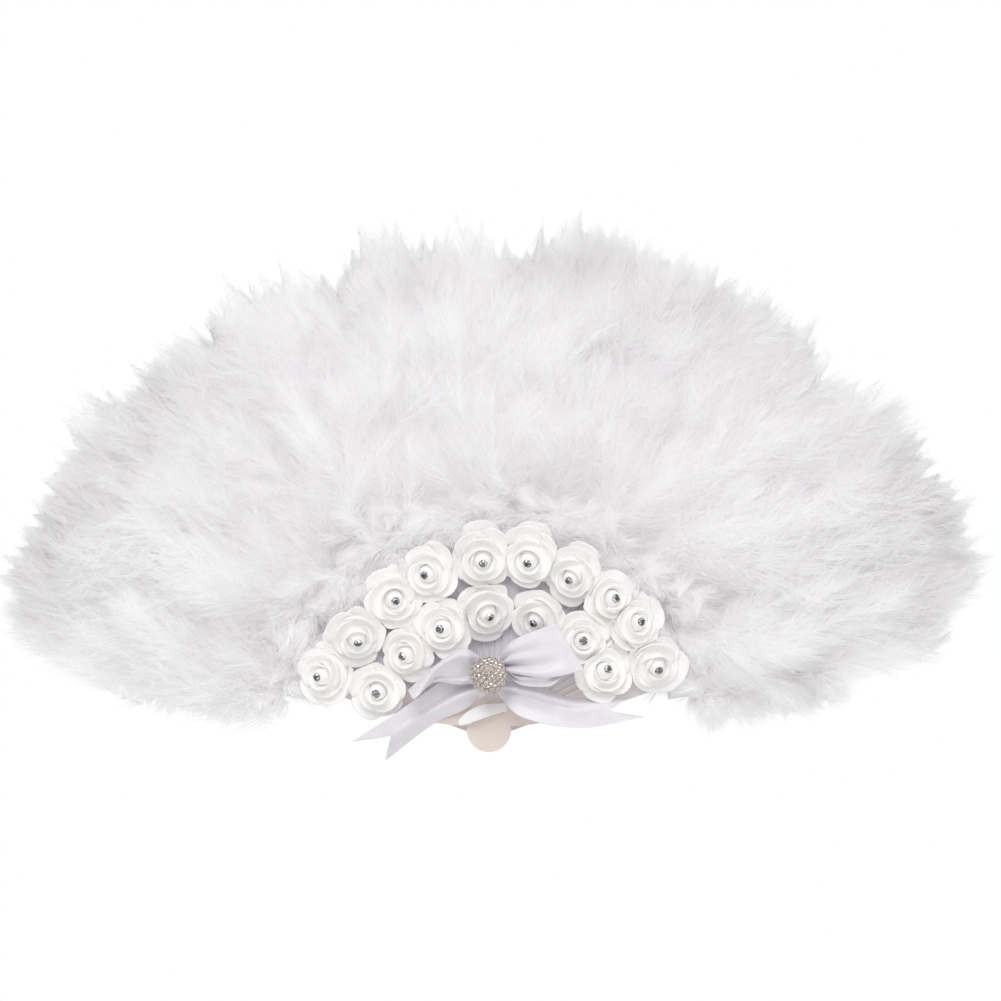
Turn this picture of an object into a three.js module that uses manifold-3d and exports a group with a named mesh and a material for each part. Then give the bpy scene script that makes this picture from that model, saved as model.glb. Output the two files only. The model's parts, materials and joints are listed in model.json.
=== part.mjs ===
// A folding marabou feather fan, open and upright, seen from its front at -Y.
// Ten fluted sticks turn on one rivet, behind a fluted front plate that carries foam roses and a satin bow.
// Each stick bears one plume, and short link ribbons join neighbouring sticks.
// Millimetres and degrees. The rivet's axis is Y, through the origin, and +Z is up.

import * as THREE from 'three';
import { mergeVertices } from 'three/addons/utils/BufferGeometryUtils.js';
import Module from 'manifold-3d';

const wasm = await Module();
wasm.setup();

// Gap between pieces that touch
const CLEARANCE = 0.3;

// Sticks
const STICKS_PER_SIDE = 5;
const STICK_PITCH = 15.4;
const STICK_LENGTH = 190;
const STICK_THICKNESS = 1.6;
const HEAD_RADIUS = 12.2;
const WAIST_WIDTH = 13;
const BLADE_WIDTH = 17;
const BLADE_HEIGHT = 104;
const TIP_RADIUS = 4.5;
const FLUTE_WIDTH = 1.8;
const FLUTE_DEPTH = 0.5;
const FLUTE_SPACING = 5;

// Rivet and washer
const RIVET_RADIUS = 2;
const RIVET_HEAD_RADIUS = 5;
const RIVET_HEAD_HEIGHT = 1;
const RIVET_FLAT_RADIUS = 3.2;
const WASHER_RADIUS = 7;
const WASHER_THICKNESS = 0.8;

// Front plate
const PLATE_RADIUS = 104;
const PLATE_THICKNESS = 2.4;
const RIDGE_PITCH = 4.1;
const RIDGE_HEIGHT = 0.8;
const RIDGE_START = 24;
const RIDGE_MARGIN = 2;
const PLATE_HOLLOW = 26;

// Plumes
const PLUME_GAP = 2;
const PLUME_TIP = 272;
const PLUME_NECK = 3;
const PLUME_FRONT = 24;
const PLUME_BACK = 18;
const PLUME_EDGE = 1.2;
const PLUME_LOBE = 11;
const PLUME_TUFT = 6;
const PLUME_SHOULDER = 20;
const OUTER_SPREAD = 18.5;

// Link ribbons
const LINK_WIDTH = 10;
const LINK_THICKNESS = 0.5;
const LINK_INSET = 12;
const LINK_OFFSET = 1.2;

// Roses: where each sits, in stick pitches from upright and in millimetres from the plate's rim,
// and how far its stone leans to the right and upwards
const ROSE_RADIUS = 14.5;
const ROSE_HEIGHT = 18;
const ROSE_SEGMENTS = 15;
const ROSE_TURN = 137.5;
const OUTER_ROSES = [
  { pitches: -4.61, inset: 10.3, lean: [-5.5, -0.5] },
  { pitches: -3.49, inset: 13.8, lean: [1.9, -5.5] },
  { pitches: -2.31, inset: 14, lean: [1.9, -2.1] },
  { pitches: -1.3, inset: 11.5, lean: [-3.9, -1.7] },
  { pitches: -0.15, inset: 8.6, lean: [0.8, -4] },
  { pitches: 0.88, inset: 6.4, lean: [-2.2, -3.5] },
  { pitches: 1.86, inset: 6, lean: [-4, -4] },
  { pitches: 2.73, inset: 6, lean: [3.9, 0] },
  { pitches: 3.43, inset: 6, lean: [5.5, 1] },
  { pitches: 4.36, inset: 6, lean: [2.5, -5] },
];
const INNER_ROSES = [
  { pitches: -4.49, inset: 40, lean: [-1.7, -2] },
  { pitches: -2.92, inset: 43.5, lean: [-5, -1.7] },
  { pitches: -1.51, inset: 42.9, lean: [-2.8, 0] },
  { pitches: -0.13, inset: 37, lean: [3.3, -5] },
  { pitches: 1.56, inset: 34.9, lean: [-4.5, -4.5] },
  { pitches: 3, inset: 32.7, lean: [0, 0.5] },
  { pitches: 4.06, inset: 34.3, lean: [3.3, 2.5] },
];

// Bow
const RIBBON_WIDTH = 28;
const RIBBON_THICKNESS = 0.8;
const GATHERED_SHARE = 0.46;
const KNOT_HEIGHT = 31.5;
const KNOT_WIDTH = 12;
const KNOT_DEPTH = 14;
const BALL_RADIUS = 10.2;
const LOOP_DEPTH = 7;
const LOOP_FORWARD = 15;
const TAIL_NOTCH = 11;
const TUCK_WIDTH = 10;
// Loops: how far out each goes, how it rises, how its end is skewed, and the share of its width shown there
const RIGHT_LOOP = { reach: 47, rise: 20, skew: 10, shown: 1 };
const LEFT_LOOP = { reach: 44, rise: -15, skew: -4, shown: 0.55 };
// Tails: where each starts and ends beside the knot and below it, how far it sags between, how far it stands
// forward of the plate, and the share of its width that shows, since it is tilted
const LEFT_TAIL = { start: [-4, -13], end: [-66, -43.5], sag: 0, forward: [5, 10.5], shown: 0.78 };
const RIGHT_TAIL = { start: [1, -11.6], end: [80, -20.5], sag: 8.2, forward: [7, 13.4], shown: 0.6 };
// Tuck: its ends and its middle beside the rivet and above it
const TUCK = [[-17, 3], [-4, 8.5], [10, 12]];

// Places that follow from the sizes
const LAYERS = 2 * STICKS_PER_SIDE;
const LAYER_PITCH = STICK_THICKNESS + CLEARANCE;
const STACK_FRONT = -(LAYERS * LAYER_PITCH - CLEARANCE) / 2;
const STACK_BACK = -STACK_FRONT;
const GUARD_ANGLE = (STICKS_PER_SIDE - 0.5) * STICK_PITCH;
const PLATE_BACK = STACK_FRONT - CLEARANCE;
const PLATE_FRONT = PLATE_BACK - PLATE_THICKNESS;
const SEAT = PLATE_FRONT - RIDGE_HEIGHT - CLEARANCE;
const PLUME_START = PLATE_RADIUS + PLUME_GAP;
const LINK_RADIUS = PLATE_RADIUS - LINK_INSET;
const BALL_DEPTH = SEAT - KNOT_DEPTH - CLEARANCE - BALL_RADIUS;

const radians = THREE.MathUtils.degToRad;
const smooth = (value, from, to) => THREE.MathUtils.smoothstep(value, from, to);
const leanOf = (side, place) => side * (place - 0.5) * STICK_PITCH;
const layerDepth = (layer) => (layer - (LAYERS - 1) / 2) * LAYER_PITCH;
const stickDepth = (side, place) => layerDepth(2 * (place - 1) + (side > 0 ? 1 : 0));

const colours = {
  plastic: new THREE.MeshStandardMaterial({ color: 0xe6ded8, roughness: 0.4, metalness: 0 }),
  plate: new THREE.MeshStandardMaterial({ color: 0xdcd6d2, roughness: 0.45, metalness: 0 }),
  feather: new THREE.MeshStandardMaterial({ color: 0xf4f3f2, roughness: 0.95, metalness: 0 }),
  foam: new THREE.MeshStandardMaterial({ color: 0xf1eee9, roughness: 0.7, metalness: 0 }),
  satin: new THREE.MeshStandardMaterial({ color: 0xf0eff3, roughness: 0.35, metalness: 0 }),
  crystal: new THREE.MeshStandardMaterial({ color: 0xb4aea8, roughness: 0.1, metalness: 0.6 }),
  steel: new THREE.MeshStandardMaterial({ color: 0xc8c8c6, roughness: 0.3, metalness: 1 }),
};

// Solids from geometries, and back
function solidOf(geometry) {
  const bare = geometry.clone();
  bare.deleteAttribute('normal');
  bare.deleteAttribute('uv');
  const merged = mergeVertices(bare);
  const vertProperties = new Float32Array(merged.attributes.position.array);
  const triVerts = new Uint32Array(merged.index.array);
  return new wasm.Manifold(new wasm.Mesh({ numProp: 3, vertProperties, triVerts }));
}

function geometryOf(solid) {
  const mesh = solid.getMesh();
  const geometry = new THREE.BufferGeometry();
  geometry.setAttribute('position', new THREE.BufferAttribute(mesh.vertProperties, 3));
  geometry.setIndex(new THREE.BufferAttribute(mesh.triVerts, 1));
  return geometry;
}

// A closed geometry from points and triangles, turned so that its faces point out
function closedGeometry(points, triangles) {
  let volume = 0;
  for (const [a, b, c] of triangles) {
    volume += points[a].dot(points[b].clone().cross(points[c]));
  }
  const turned = volume > 0 ? triangles : triangles.map(([a, b, c]) => [a, c, b]);
  const geometry = new THREE.BufferGeometry().setFromPoints(points);
  geometry.setIndex(turned.flat());
  return geometry;
}

// A closed slab between two grids of points with the same rows and columns
function slab(front, back) {
  const rows = front.length;
  const columns = front[0].length;
  const points = [...front.flat(), ...back.flat()];
  const triangles = [];
  const at = (row, column, face) => face * rows * columns + row * columns + column;
  const quad = (a, b, c, d) => triangles.push([a, b, c], [a, c, d]);
  for (let i = 0; i < rows - 1; i++) {
    for (let j = 0; j < columns - 1; j++) {
      quad(at(i, j, 0), at(i, j + 1, 0), at(i + 1, j + 1, 0), at(i + 1, j, 0));
      quad(at(i, j, 1), at(i + 1, j, 1), at(i + 1, j + 1, 1), at(i, j + 1, 1));
    }
    const last = columns - 1;
    quad(at(i, 0, 0), at(i + 1, 0, 0), at(i + 1, 0, 1), at(i, 0, 1));
    quad(at(i, last, 0), at(i, last, 1), at(i + 1, last, 1), at(i + 1, last, 0));
  }
  for (let j = 0; j < columns - 1; j++) {
    const end = rows - 1;
    quad(at(0, j, 0), at(0, j, 1), at(0, j + 1, 1), at(0, j + 1, 0));
    quad(at(end, j, 0), at(end, j + 1, 0), at(end, j + 1, 1), at(end, j, 1));
  }
  return closedGeometry(points, triangles);
}

// A closed stack of rings with a point below the first and a point above the last
function ringStack(bottom, rings, top) {
  const count = rings[0].length;
  const points = [...rings.flat(), bottom, top];
  const triangles = [];
  const bottomIndex = points.length - 2;
  const topIndex = points.length - 1;
  const lastRing = (rings.length - 1) * count;
  for (let j = 0; j < count; j++) {
    const next = (j + 1) % count;
    triangles.push([bottomIndex, next, j], [topIndex, lastRing + j, lastRing + next]);
    for (let i = 0; i < rings.length - 1; i++) {
      const low = i * count;
      const high = low + count;
      triangles.push([low + j, low + next, high + next], [low + j, high + next, high + j]);
    }
  }
  return closedGeometry(points, triangles);
}

// Sticks: a flat bar with a round head, a waist, a wider blade and a round tip, and two flutes in its front
function stickShape(grow) {
  const head = HEAD_RADIUS + grow;
  const waist = WAIST_WIDTH / 2 + grow;
  const blade = BLADE_WIDTH / 2 + grow;
  const tip = TIP_RADIUS + grow;
  const tipHeight = STICK_LENGTH - TIP_RADIUS;
  const neck = Math.acos(waist / head);
  const neckHeight = head * Math.sin(neck);
  const waistHeight = (neckHeight + BLADE_HEIGHT) / 2;
  const shape = new THREE.Shape();
  shape.absarc(0, 0, head, Math.PI - neck, neck, false);
  shape.bezierCurveTo(waist, waistHeight, blade, waistHeight, blade, BLADE_HEIGHT);
  shape.lineTo(tip, tipHeight);
  shape.absarc(0, tipHeight, tip, 0, Math.PI, false);
  shape.lineTo(-blade, BLADE_HEIGHT);
  shape.bezierCurveTo(-blade, waistHeight, -waist, waistHeight, -waist, neckHeight);
  return shape;
}

function stickBar(shape, thickness) {
  const bar = new THREE.ExtrudeGeometry(shape, { depth: thickness, bevelEnabled: false, curveSegments: 9 });
  return bar.rotateX(Math.PI / 2).translate(0, thickness / 2, 0);
}

// A long three-sided bar between two triangles, each given by its three corners
function wedge(firstCorners, lastCorners) {
  const triangles = [[0, 1, 2], [3, 5, 4]];
  for (let i = 0; i < 3; i++) {
    const next = (i + 1) % 3;
    triangles.push([i, i + 3, next + 3], [i, next + 3, next]);
  }
  return closedGeometry([...firstCorners, ...lastCorners], triangles);
}

function fluteCut(side) {
  const middle = (side * FLUTE_SPACING) / 2;
  const front = -STICK_THICKNESS / 2;
  const corners = (radius) => [
    new THREE.Vector3(middle - FLUTE_WIDTH / 2, front - FLUTE_DEPTH, radius),
    new THREE.Vector3(middle, front + FLUTE_DEPTH, radius),
    new THREE.Vector3(middle + FLUTE_WIDTH / 2, front - FLUTE_DEPTH, radius),
  ];
  return wedge(corners(1.5 * HEAD_RADIUS), corners(STICK_LENGTH - 3 * TIP_RADIUS));
}

function stickGeometry() {
  const shape = stickShape(0);
  const bore = new THREE.Path();
  bore.absarc(0, 0, RIVET_RADIUS + CLEARANCE, 0, 2 * Math.PI, true);
  shape.holes.push(bore);
  const bar = solidOf(stickBar(shape, STICK_THICKNESS));
  return geometryOf(bar.subtract(solidOf(fluteCut(-1))).subtract(solidOf(fluteCut(1))));
}

// Plumes: a soft pad round the outer half of a stick, thick in the middle and drawn out into tufts
function plumeGeometry(outerSide) {
  const rows = 7;
  const columns = 6;
  const halfPitch = radians(STICK_PITCH / 2);
  const edgeAngle = (side, radius, along) => {
    const droop = Math.sin(Math.PI * (0.17 + 0.63 * along));
    const inner = halfPitch - Math.asin(CLEARANCE / 2 / radius);
    return side === outerSide ? radians(OUTER_SPREAD) * droop : inner;
  };
  const front = [];
  const back = [];
  for (let i = 0; i <= rows; i++) {
    const along = i / rows;
    const frontRow = [];
    const backRow = [];
    for (let j = 0; j <= columns; j++) {
      const across = (2 * j) / columns - 1;
      const notch = j % 2 === 0 ? PLUME_TUFT : 0;
      const tip = PLUME_TIP - PLUME_LOBE * across * across - notch;
      const radius = THREE.MathUtils.lerp(PLUME_START, tip, along);
      const angle = across * edgeAngle(Math.sign(across), radius, along);
      const swell = smooth(radius, PLUME_START + PLUME_SHOULDER, PLUME_START + 4 * PLUME_SHOULDER);
      const thinning = Math.sign(across) === outerSide ? 0.96 : 0.3;
      const taper = Math.sqrt(1 - along ** 3) * (1 - thinning * across * across);
      const thickness = (full) => {
        const middle = PLUME_NECK + (full - PLUME_NECK) * swell;
        return PLUME_EDGE + (middle - PLUME_EDGE) * taper;
      };
      const x = radius * Math.sin(angle);
      const z = radius * Math.cos(angle);
      frontRow.push(new THREE.Vector3(x, -thickness(PLUME_FRONT), z));
      backRow.push(new THREE.Vector3(x, thickness(PLUME_BACK), z));
    }
    front.push(frontRow);
    back.push(backRow);
  }
  const pocket = stickBar(stickShape(CLEARANCE), STICK_THICKNESS + 2 * CLEARANCE);
  return geometryOf(solidOf(slab(front, back)).subtract(solidOf(pocket)));
}

// Ribbons: a strip of cloth along a path, three points across, with an optional notch in its far end
function ribbonGeometry({ centre, across, steps, thickness, notch = 0 }) {
  const step = 1e-3;
  const front = [];
  const back = [];
  for (let i = 0; i <= steps; i++) {
    const t = i / steps;
    const along = centre(Math.min(t + step, 1)).sub(centre(Math.max(t - step, 0))).normalize();
    const width = across(t);
    const normal = width.clone().cross(along).normalize().multiplyScalar(thickness / 2);
    const points = [-0.5, 0, 0.5].map((share) => {
      const cut = i === steps && share === 0 ? notch : 0;
      return centre(t).addScaledVector(width, share).addScaledVector(along, -cut);
    });
    front.push(points.map((point) => point.clone().add(normal)));
    back.push(points.map((point) => point.clone().sub(normal)));
  }
  return slab(front, back);
}

// Link ribbons: from the back of one stick to the front of the next, or from back to back at the middle
function linkGeometry(fromLean, fromDepth, toLean, toDepth) {
  const turn = Math.sign(toLean - fromLean) * Math.asin(LINK_OFFSET / LINK_RADIUS);
  const start = radians(fromLean) + turn;
  const end = radians(toLean) - turn;
  const place = (t) => {
    const angle = THREE.MathUtils.lerp(start, end, t);
    const depth = THREE.MathUtils.lerp(fromDepth, toDepth, smooth(t, 0.3, 0.7));
    return new THREE.Vector3(LINK_RADIUS * Math.sin(angle), depth, LINK_RADIUS * Math.cos(angle));
  };
  const outwards = (t) => {
    const angle = THREE.MathUtils.lerp(start, end, t);
    return new THREE.Vector3(Math.sin(angle), 0, Math.cos(angle)).multiplyScalar(LINK_WIDTH);
  };
  return ribbonGeometry({ centre: place, across: outwards, steps: 5, thickness: LINK_THICKNESS });
}

// Front plate: a fluted half disc whose lower edges curve into its round head over the rivet
function plateGeometry() {
  const corner = Math.PI / 2 - radians(GUARD_ANGLE) - Math.asin(HEAD_RADIUS / PLATE_RADIUS);
  const shoulder = radians(10);
  const cornerX = PLATE_RADIUS * Math.cos(corner);
  const cornerZ = PLATE_RADIUS * Math.sin(corner);
  const shoulderX = HEAD_RADIUS * Math.cos(shoulder);
  const shoulderZ = HEAD_RADIUS * Math.sin(shoulder);
  const shape = new THREE.Shape();
  shape.absarc(0, 0, PLATE_RADIUS, corner, Math.PI - corner, false);
  shape.quadraticCurveTo(-shoulderX - PLATE_HOLLOW, shoulderZ, -shoulderX, shoulderZ);
  shape.absarc(0, 0, HEAD_RADIUS, Math.PI - shoulder, shoulder, false);
  shape.quadraticCurveTo(shoulderX + PLATE_HOLLOW, shoulderZ, cornerX, cornerZ);
  const extrusion = { depth: PLATE_THICKNESS, bevelEnabled: false, curveSegments: 24 };
  const flat = new THREE.ExtrudeGeometry(shape, extrusion);
  flat.rotateX(Math.PI / 2).translate(0, PLATE_BACK, 0);
  const seatRadius = RIVET_HEAD_RADIUS + CLEARANCE;
  const seatDepth = RIVET_HEAD_HEIGHT + CLEARANCE;
  const seat = new THREE.CylinderGeometry(seatRadius, seatRadius, 2 * seatDepth, 20);
  seat.translate(0, PLATE_BACK, 0);
  let plate = solidOf(flat).subtract(solidOf(seat));
  const ridgesPerSide = Math.floor(GUARD_ANGLE / RIDGE_PITCH);
  for (let i = -ridgesPerSide; i <= ridgesPerSide; i++) {
    plate = plate.add(solidOf(ridgeGeometry(i * RIDGE_PITCH)));
  }
  return geometryOf(plate);
}

function ridgeGeometry(lean) {
  const sink = RIDGE_HEIGHT / 2;
  const spread = Math.tan(radians(0.4 * RIDGE_PITCH));
  const corners = (radius) => [
    new THREE.Vector3(-radius * spread, PLATE_FRONT + sink, radius),
    new THREE.Vector3(0, PLATE_FRONT - RIDGE_HEIGHT, radius),
    new THREE.Vector3(radius * spread, PLATE_FRONT + sink, radius),
  ];
  return wedge(corners(RIDGE_START), corners(PLATE_RADIUS - RIDGE_MARGIN)).rotateY(radians(lean));
}

// Rivet: its front head sits in the plate's seat, and its rear head is turned over on the washer
function rivetGeometry() {
  const washerBack = STACK_BACK + CLEARANCE + WASHER_THICKNESS;
  const rearHead = washerBack + CLEARANCE;
  const profile = [
    [0, PLATE_BACK - RIVET_HEAD_HEIGHT],
    [RIVET_HEAD_RADIUS, PLATE_BACK - RIVET_HEAD_HEIGHT],
    [RIVET_HEAD_RADIUS, PLATE_BACK],
    [RIVET_RADIUS, PLATE_BACK],
    [RIVET_RADIUS, rearHead],
    [RIVET_HEAD_RADIUS, rearHead],
    [RIVET_FLAT_RADIUS, rearHead + 1.5 * RIVET_HEAD_HEIGHT],
    [0, rearHead + 1.5 * RIVET_HEAD_HEIGHT],
  ];
  return new THREE.LatheGeometry(profile.map(([radius, y]) => new THREE.Vector2(radius, y)), 20);
}

function washerGeometry() {
  const front = STACK_BACK + CLEARANCE;
  const bore = RIVET_RADIUS + CLEARANCE;
  const profile = [
    [bore, front],
    [WASHER_RADIUS, front],
    [WASHER_RADIUS, front + WASHER_THICKNESS],
    [bore, front + WASHER_THICKNESS],
    [bore, front],
  ];
  return new THREE.LatheGeometry(profile.map(([radius, y]) => new THREE.Vector2(radius, y)), 20);
}

// Roses: whorls of overlapping petals round a bud with a stone, leaning as each one is glued on
const ROSE_PROFILE = [
  { radius: 0.38, height: 0 },
  { radius: 0.8, height: 0.28 },
  { radius: 1, height: 0.62, petals: 5 },
  { radius: 0.76, height: 0.5 },
  { radius: 0.7, height: 0.82, petals: 5 },
  { radius: 0.52, height: 0.66 },
  { radius: 0.42, height: 0.97, petals: 3 },
  { radius: 0.24, height: 0.8 },
  { radius: 0.19, height: 0.86 },
  { radius: 0.11, height: 0.96 },
];
const PETAL_SWING = 0.16;
const PETAL_DIP = 0.1;

function leaned(x, y, z, lean) {
  const offset = Math.hypot(...lean);
  if (offset < 1e-6) {
    return new THREE.Vector3(x, y, z);
  }
  const [dx, dy] = [lean[0] / offset, lean[1] / offset];
  const angle = (2 * offset) / ROSE_HEIGHT;
  const turn = (angle * z) / ROSE_HEIGHT;
  const bend = ROSE_HEIGHT / angle;
  const forward = x * dx + y * dy;
  const moved = bend * (1 - Math.cos(turn)) + forward * (Math.cos(turn) - 1);
  return new THREE.Vector3(x + moved * dx, y + moved * dy, (bend - forward) * Math.sin(turn));
}

function roseGeometry(lean, turn) {
  const rings = ROSE_PROFILE.map(({ radius, height, petals = 0 }, row) => {
    const ring = [];
    for (let j = 0; j < ROSE_SEGMENTS; j++) {
      const period = petals ? ROSE_SEGMENTS / petals : 1;
      const wave = petals ? ((j + row) % period) / (period - 1) - 0.5 : 0;
      const angle = (2 * Math.PI * j) / ROSE_SEGMENTS + radians(turn);
      const reach = ROSE_RADIUS * radius * (1 + PETAL_SWING * wave);
      const rise = ROSE_HEIGHT * (height - PETAL_DIP * Math.abs(wave));
      ring.push(leaned(reach * Math.cos(angle), reach * Math.sin(angle), rise, lean));
    }
    return ring;
  });
  const bottom = new THREE.Vector3(0, 0, 0);
  const top = leaned(0, 0, ROSE_PROFILE.at(-1).height * ROSE_HEIGHT, lean);
  return ringStack(bottom, rings, top).rotateX(Math.PI / 2);
}

function roseSeat({ pitches, inset }) {
  const angle = radians(pitches * STICK_PITCH);
  const radius = PLATE_RADIUS - inset;
  return new THREE.Vector3(radius * Math.sin(angle), SEAT, radius * Math.cos(angle));
}

function headCentre(rose) {
  return roseSeat(rose).add(new THREE.Vector3(rose.lean[0] / 2, 0, rose.lean[1] / 2));
}

// Neighbouring roses press against each other, each flattened at the plane halfway between their heads
function pressedRose(rose, index, roses) {
  const seat = roseSeat(rose);
  const whole = roseGeometry(rose.lean, index * ROSE_TURN).translate(seat.x, seat.y, seat.z);
  let solid = solidOf(whole);
  const centre = headCentre(rose);
  for (const other of roses) {
    const between = headCentre(other).sub(centre);
    const distance = between.length();
    if (other === rose || distance > 2.6 * ROSE_RADIUS) {
      continue;
    }
    const size = 6 * ROSE_RADIUS;
    const block = new THREE.BoxGeometry(size, size, size);
    block.translate(0, 0, (distance + size - CLEARANCE) / 2);
    block.rotateY(Math.atan2(between.x, between.z)).translate(centre.x, centre.y, centre.z);
    solid = solid.subtract(solidOf(block));
  }
  return geometryOf(solid);
}

// Bow: loops and tails of one ribbon width, gathered behind a round knot that carries the crystal ball
function loopGeometry(side, { reach, rise, skew, shown }) {
  const direction = new THREE.Vector3(side * Math.cos(radians(rise)), 0, Math.sin(radians(rise)));
  const widthAngle = radians(rise + 90 + skew);
  const widthway = new THREE.Vector3(side * Math.cos(widthAngle), 0, Math.sin(widthAngle));
  const root = new THREE.Vector3(0, SEAT - 0.75 * KNOT_DEPTH, KNOT_HEIGHT);
  const start = KNOT_WIDTH / 2 + CLEARANCE;
  const centre = (t) => {
    const out = Math.sin(Math.PI * t);
    const swell = -LOOP_DEPTH * Math.cos(Math.PI * t) * (0.3 + 0.7 * out);
    const point = root.clone().addScaledVector(direction, start + (reach - start) * out);
    return point.add(new THREE.Vector3(0, swell - LOOP_FORWARD * out, 0));
  };
  const across = (t) => {
    const share = THREE.MathUtils.lerp(GATHERED_SHARE, shown, Math.sin(Math.PI * t));
    return widthway.clone().multiplyScalar(RIBBON_WIDTH * share);
  };
  return ribbonGeometry({ centre, across, steps: 16, thickness: RIBBON_THICKNESS });
}

function tailGeometry({ start, end, sag, forward, shown }) {
  const points = [0, 1, 2, 3].map((step) => {
    const t = step / 3;
    const x = THREE.MathUtils.lerp(start[0], end[0], t);
    const z = THREE.MathUtils.lerp(start[1], end[1], t) - sag * Math.sin(Math.PI * t);
    const stand = THREE.MathUtils.lerp(forward[0], forward[1], smooth(t, 0, 0.6));
    return new THREE.Vector3(x, SEAT - stand, KNOT_HEIGHT + z);
  });
  const path = new THREE.CatmullRomCurve3(points);
  const centre = (t) => path.getPoint(t);
  const across = (t) => {
    const along = path.getTangent(t);
    const share = THREE.MathUtils.lerp(GATHERED_SHARE, 1, smooth(t, 0, 0.4));
    const width = new THREE.Vector3(-along.z, 0, along.x).normalize().multiplyScalar(shown);
    width.y = Math.sign(width.z) * Math.sqrt(1 - shown ** 2);
    return width.multiplyScalar(RIBBON_WIDTH * share);
  };
  return ribbonGeometry({ centre, across, steps: 10, thickness: RIBBON_THICKNESS, notch: TAIL_NOTCH });
}

function knotGeometry() {
  const half = KNOT_DEPTH / 2;
  const shares = [0, 0.8, 1, 0.85, 1, 0.8, 0];
  const depths = [-1, -1, -0.5, 0, 0.5, 1, 1];
  const points = shares.map((share, i) => new THREE.Vector2((share * KNOT_WIDTH) / 2, depths[i] * half));
  return new THREE.LatheGeometry(points, 14).scale(1, 1, 1.35).translate(0, SEAT - half, KNOT_HEIGHT);
}

function tuckGeometry() {
  const depth = PLATE_FRONT - CLEARANCE - RIBBON_THICKNESS / 2;
  const path = new THREE.CatmullRomCurve3(TUCK.map(([x, z]) => new THREE.Vector3(x, depth, z)));
  const across = (t) => {
    const along = path.getTangent(t);
    const share = 0.15 + 0.85 * Math.sin(Math.PI * t);
    return new THREE.Vector3(-along.z, 0, along.x).multiplyScalar(TUCK_WIDTH * share);
  };
  return ribbonGeometry({ centre: (t) => path.getPoint(t), across, steps: 6, thickness: RIBBON_THICKNESS });
}

// Assembly
const fan = new THREE.Group();

function place(parent, name, geometry, material) {
  const mesh = new THREE.Mesh(geometry, material);
  mesh.name = name;
  parent.add(mesh);
  return mesh;
}

place(fan, 'front_plate', plateGeometry(), colours.plate);
place(fan, 'rivet', rivetGeometry(), colours.steel);
place(fan, 'rivet_washer', washerGeometry(), colours.steel);

const linkFace = STICK_THICKNESS / 2 + CLEARANCE + LINK_THICKNESS / 2;
for (const side of [-1, 1]) {
  const sideName = side < 0 ? 'left' : 'right';
  for (let i = 1; i <= STICKS_PER_SIDE; i++) {
    const blade = new THREE.Group();
    blade.rotation.y = radians(leanOf(side, i));
    blade.position.y = stickDepth(side, i);
    fan.add(blade);
    const outerSide = i === STICKS_PER_SIDE ? side : 0;
    place(blade, `stick_${sideName}_${i}`, stickGeometry(), colours.plastic);
    place(blade, `plume_${sideName}_${i}`, plumeGeometry(outerSide), colours.feather);
    if (i > 1) {
      const fromDepth = stickDepth(side, i - 1) + linkFace;
      const toDepth = stickDepth(side, i) - linkFace;
      const link = linkGeometry(leanOf(side, i - 1), fromDepth, leanOf(side, i), toDepth);
      place(fan, `link_ribbon_${sideName}_${i}`, link, colours.satin);
    }
  }
}
const middleFrom = stickDepth(-1, 1) + linkFace;
const middleTo = stickDepth(1, 1) + linkFace;
const middleLink = linkGeometry(leanOf(-1, 1), middleFrom, leanOf(1, 1), middleTo);
place(fan, 'link_ribbon_middle', middleLink, colours.satin);

const roses = [...OUTER_ROSES, ...INNER_ROSES];
roses.forEach((rose, i) => {
  const outer = i < OUTER_ROSES.length;
  const name = outer ? `rose_outer_${i + 1}` : `rose_inner_${i + 1 - OUTER_ROSES.length}`;
  place(fan, name, pressedRose(rose, i, roses), colours.foam);
});

place(fan, 'bow_knot', knotGeometry(), colours.satin);
place(fan, 'bow_loop_left', loopGeometry(-1, LEFT_LOOP), colours.satin);
place(fan, 'bow_loop_right', loopGeometry(1, RIGHT_LOOP), colours.satin);
place(fan, 'bow_tail_left', tailGeometry(LEFT_TAIL), colours.satin);
place(fan, 'bow_tail_right', tailGeometry(RIGHT_TAIL), colours.satin);
place(fan, 'ribbon_tuck', tuckGeometry(), colours.satin);
const ball = new THREE.IcosahedronGeometry(BALL_RADIUS, 3).translate(0, BALL_DEPTH, KNOT_HEIGHT);
place(fan, 'crystal_ball', ball, colours.crystal);

export default fan;
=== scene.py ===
"""Looks of a marabou feather fan: plumes, foam roses with stones, a satin bow and a crystal ball.

Lengths are in millimetres until a mesh is made, and angles in degrees. The fan's front looks along -Y.
"""

import json
import math
from types import SimpleNamespace

import bpy
import numpy as np
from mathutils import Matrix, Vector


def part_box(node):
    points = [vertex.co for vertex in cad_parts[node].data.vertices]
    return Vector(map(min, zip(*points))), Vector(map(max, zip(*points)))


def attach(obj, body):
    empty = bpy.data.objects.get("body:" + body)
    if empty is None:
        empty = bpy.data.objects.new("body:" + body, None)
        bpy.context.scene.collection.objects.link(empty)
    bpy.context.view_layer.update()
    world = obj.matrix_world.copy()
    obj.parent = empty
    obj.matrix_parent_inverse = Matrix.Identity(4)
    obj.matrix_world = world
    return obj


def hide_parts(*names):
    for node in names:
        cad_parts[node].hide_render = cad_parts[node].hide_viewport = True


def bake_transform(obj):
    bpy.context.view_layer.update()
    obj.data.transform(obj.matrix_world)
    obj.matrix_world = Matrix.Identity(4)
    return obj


MM = 0.001
SIDES = {"left": -1, "right": 1}

# Camera and floor
PHOTO_SIZE = 1001
MM_PER_PIXEL = 0.554
PIVOT_PIXEL = (489, 728)
LENS = 100
SENSOR = 36
FLOOR_DROP = 320
FLOOR_RADIUS = 780
FLOOR_SIDES = 96

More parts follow.
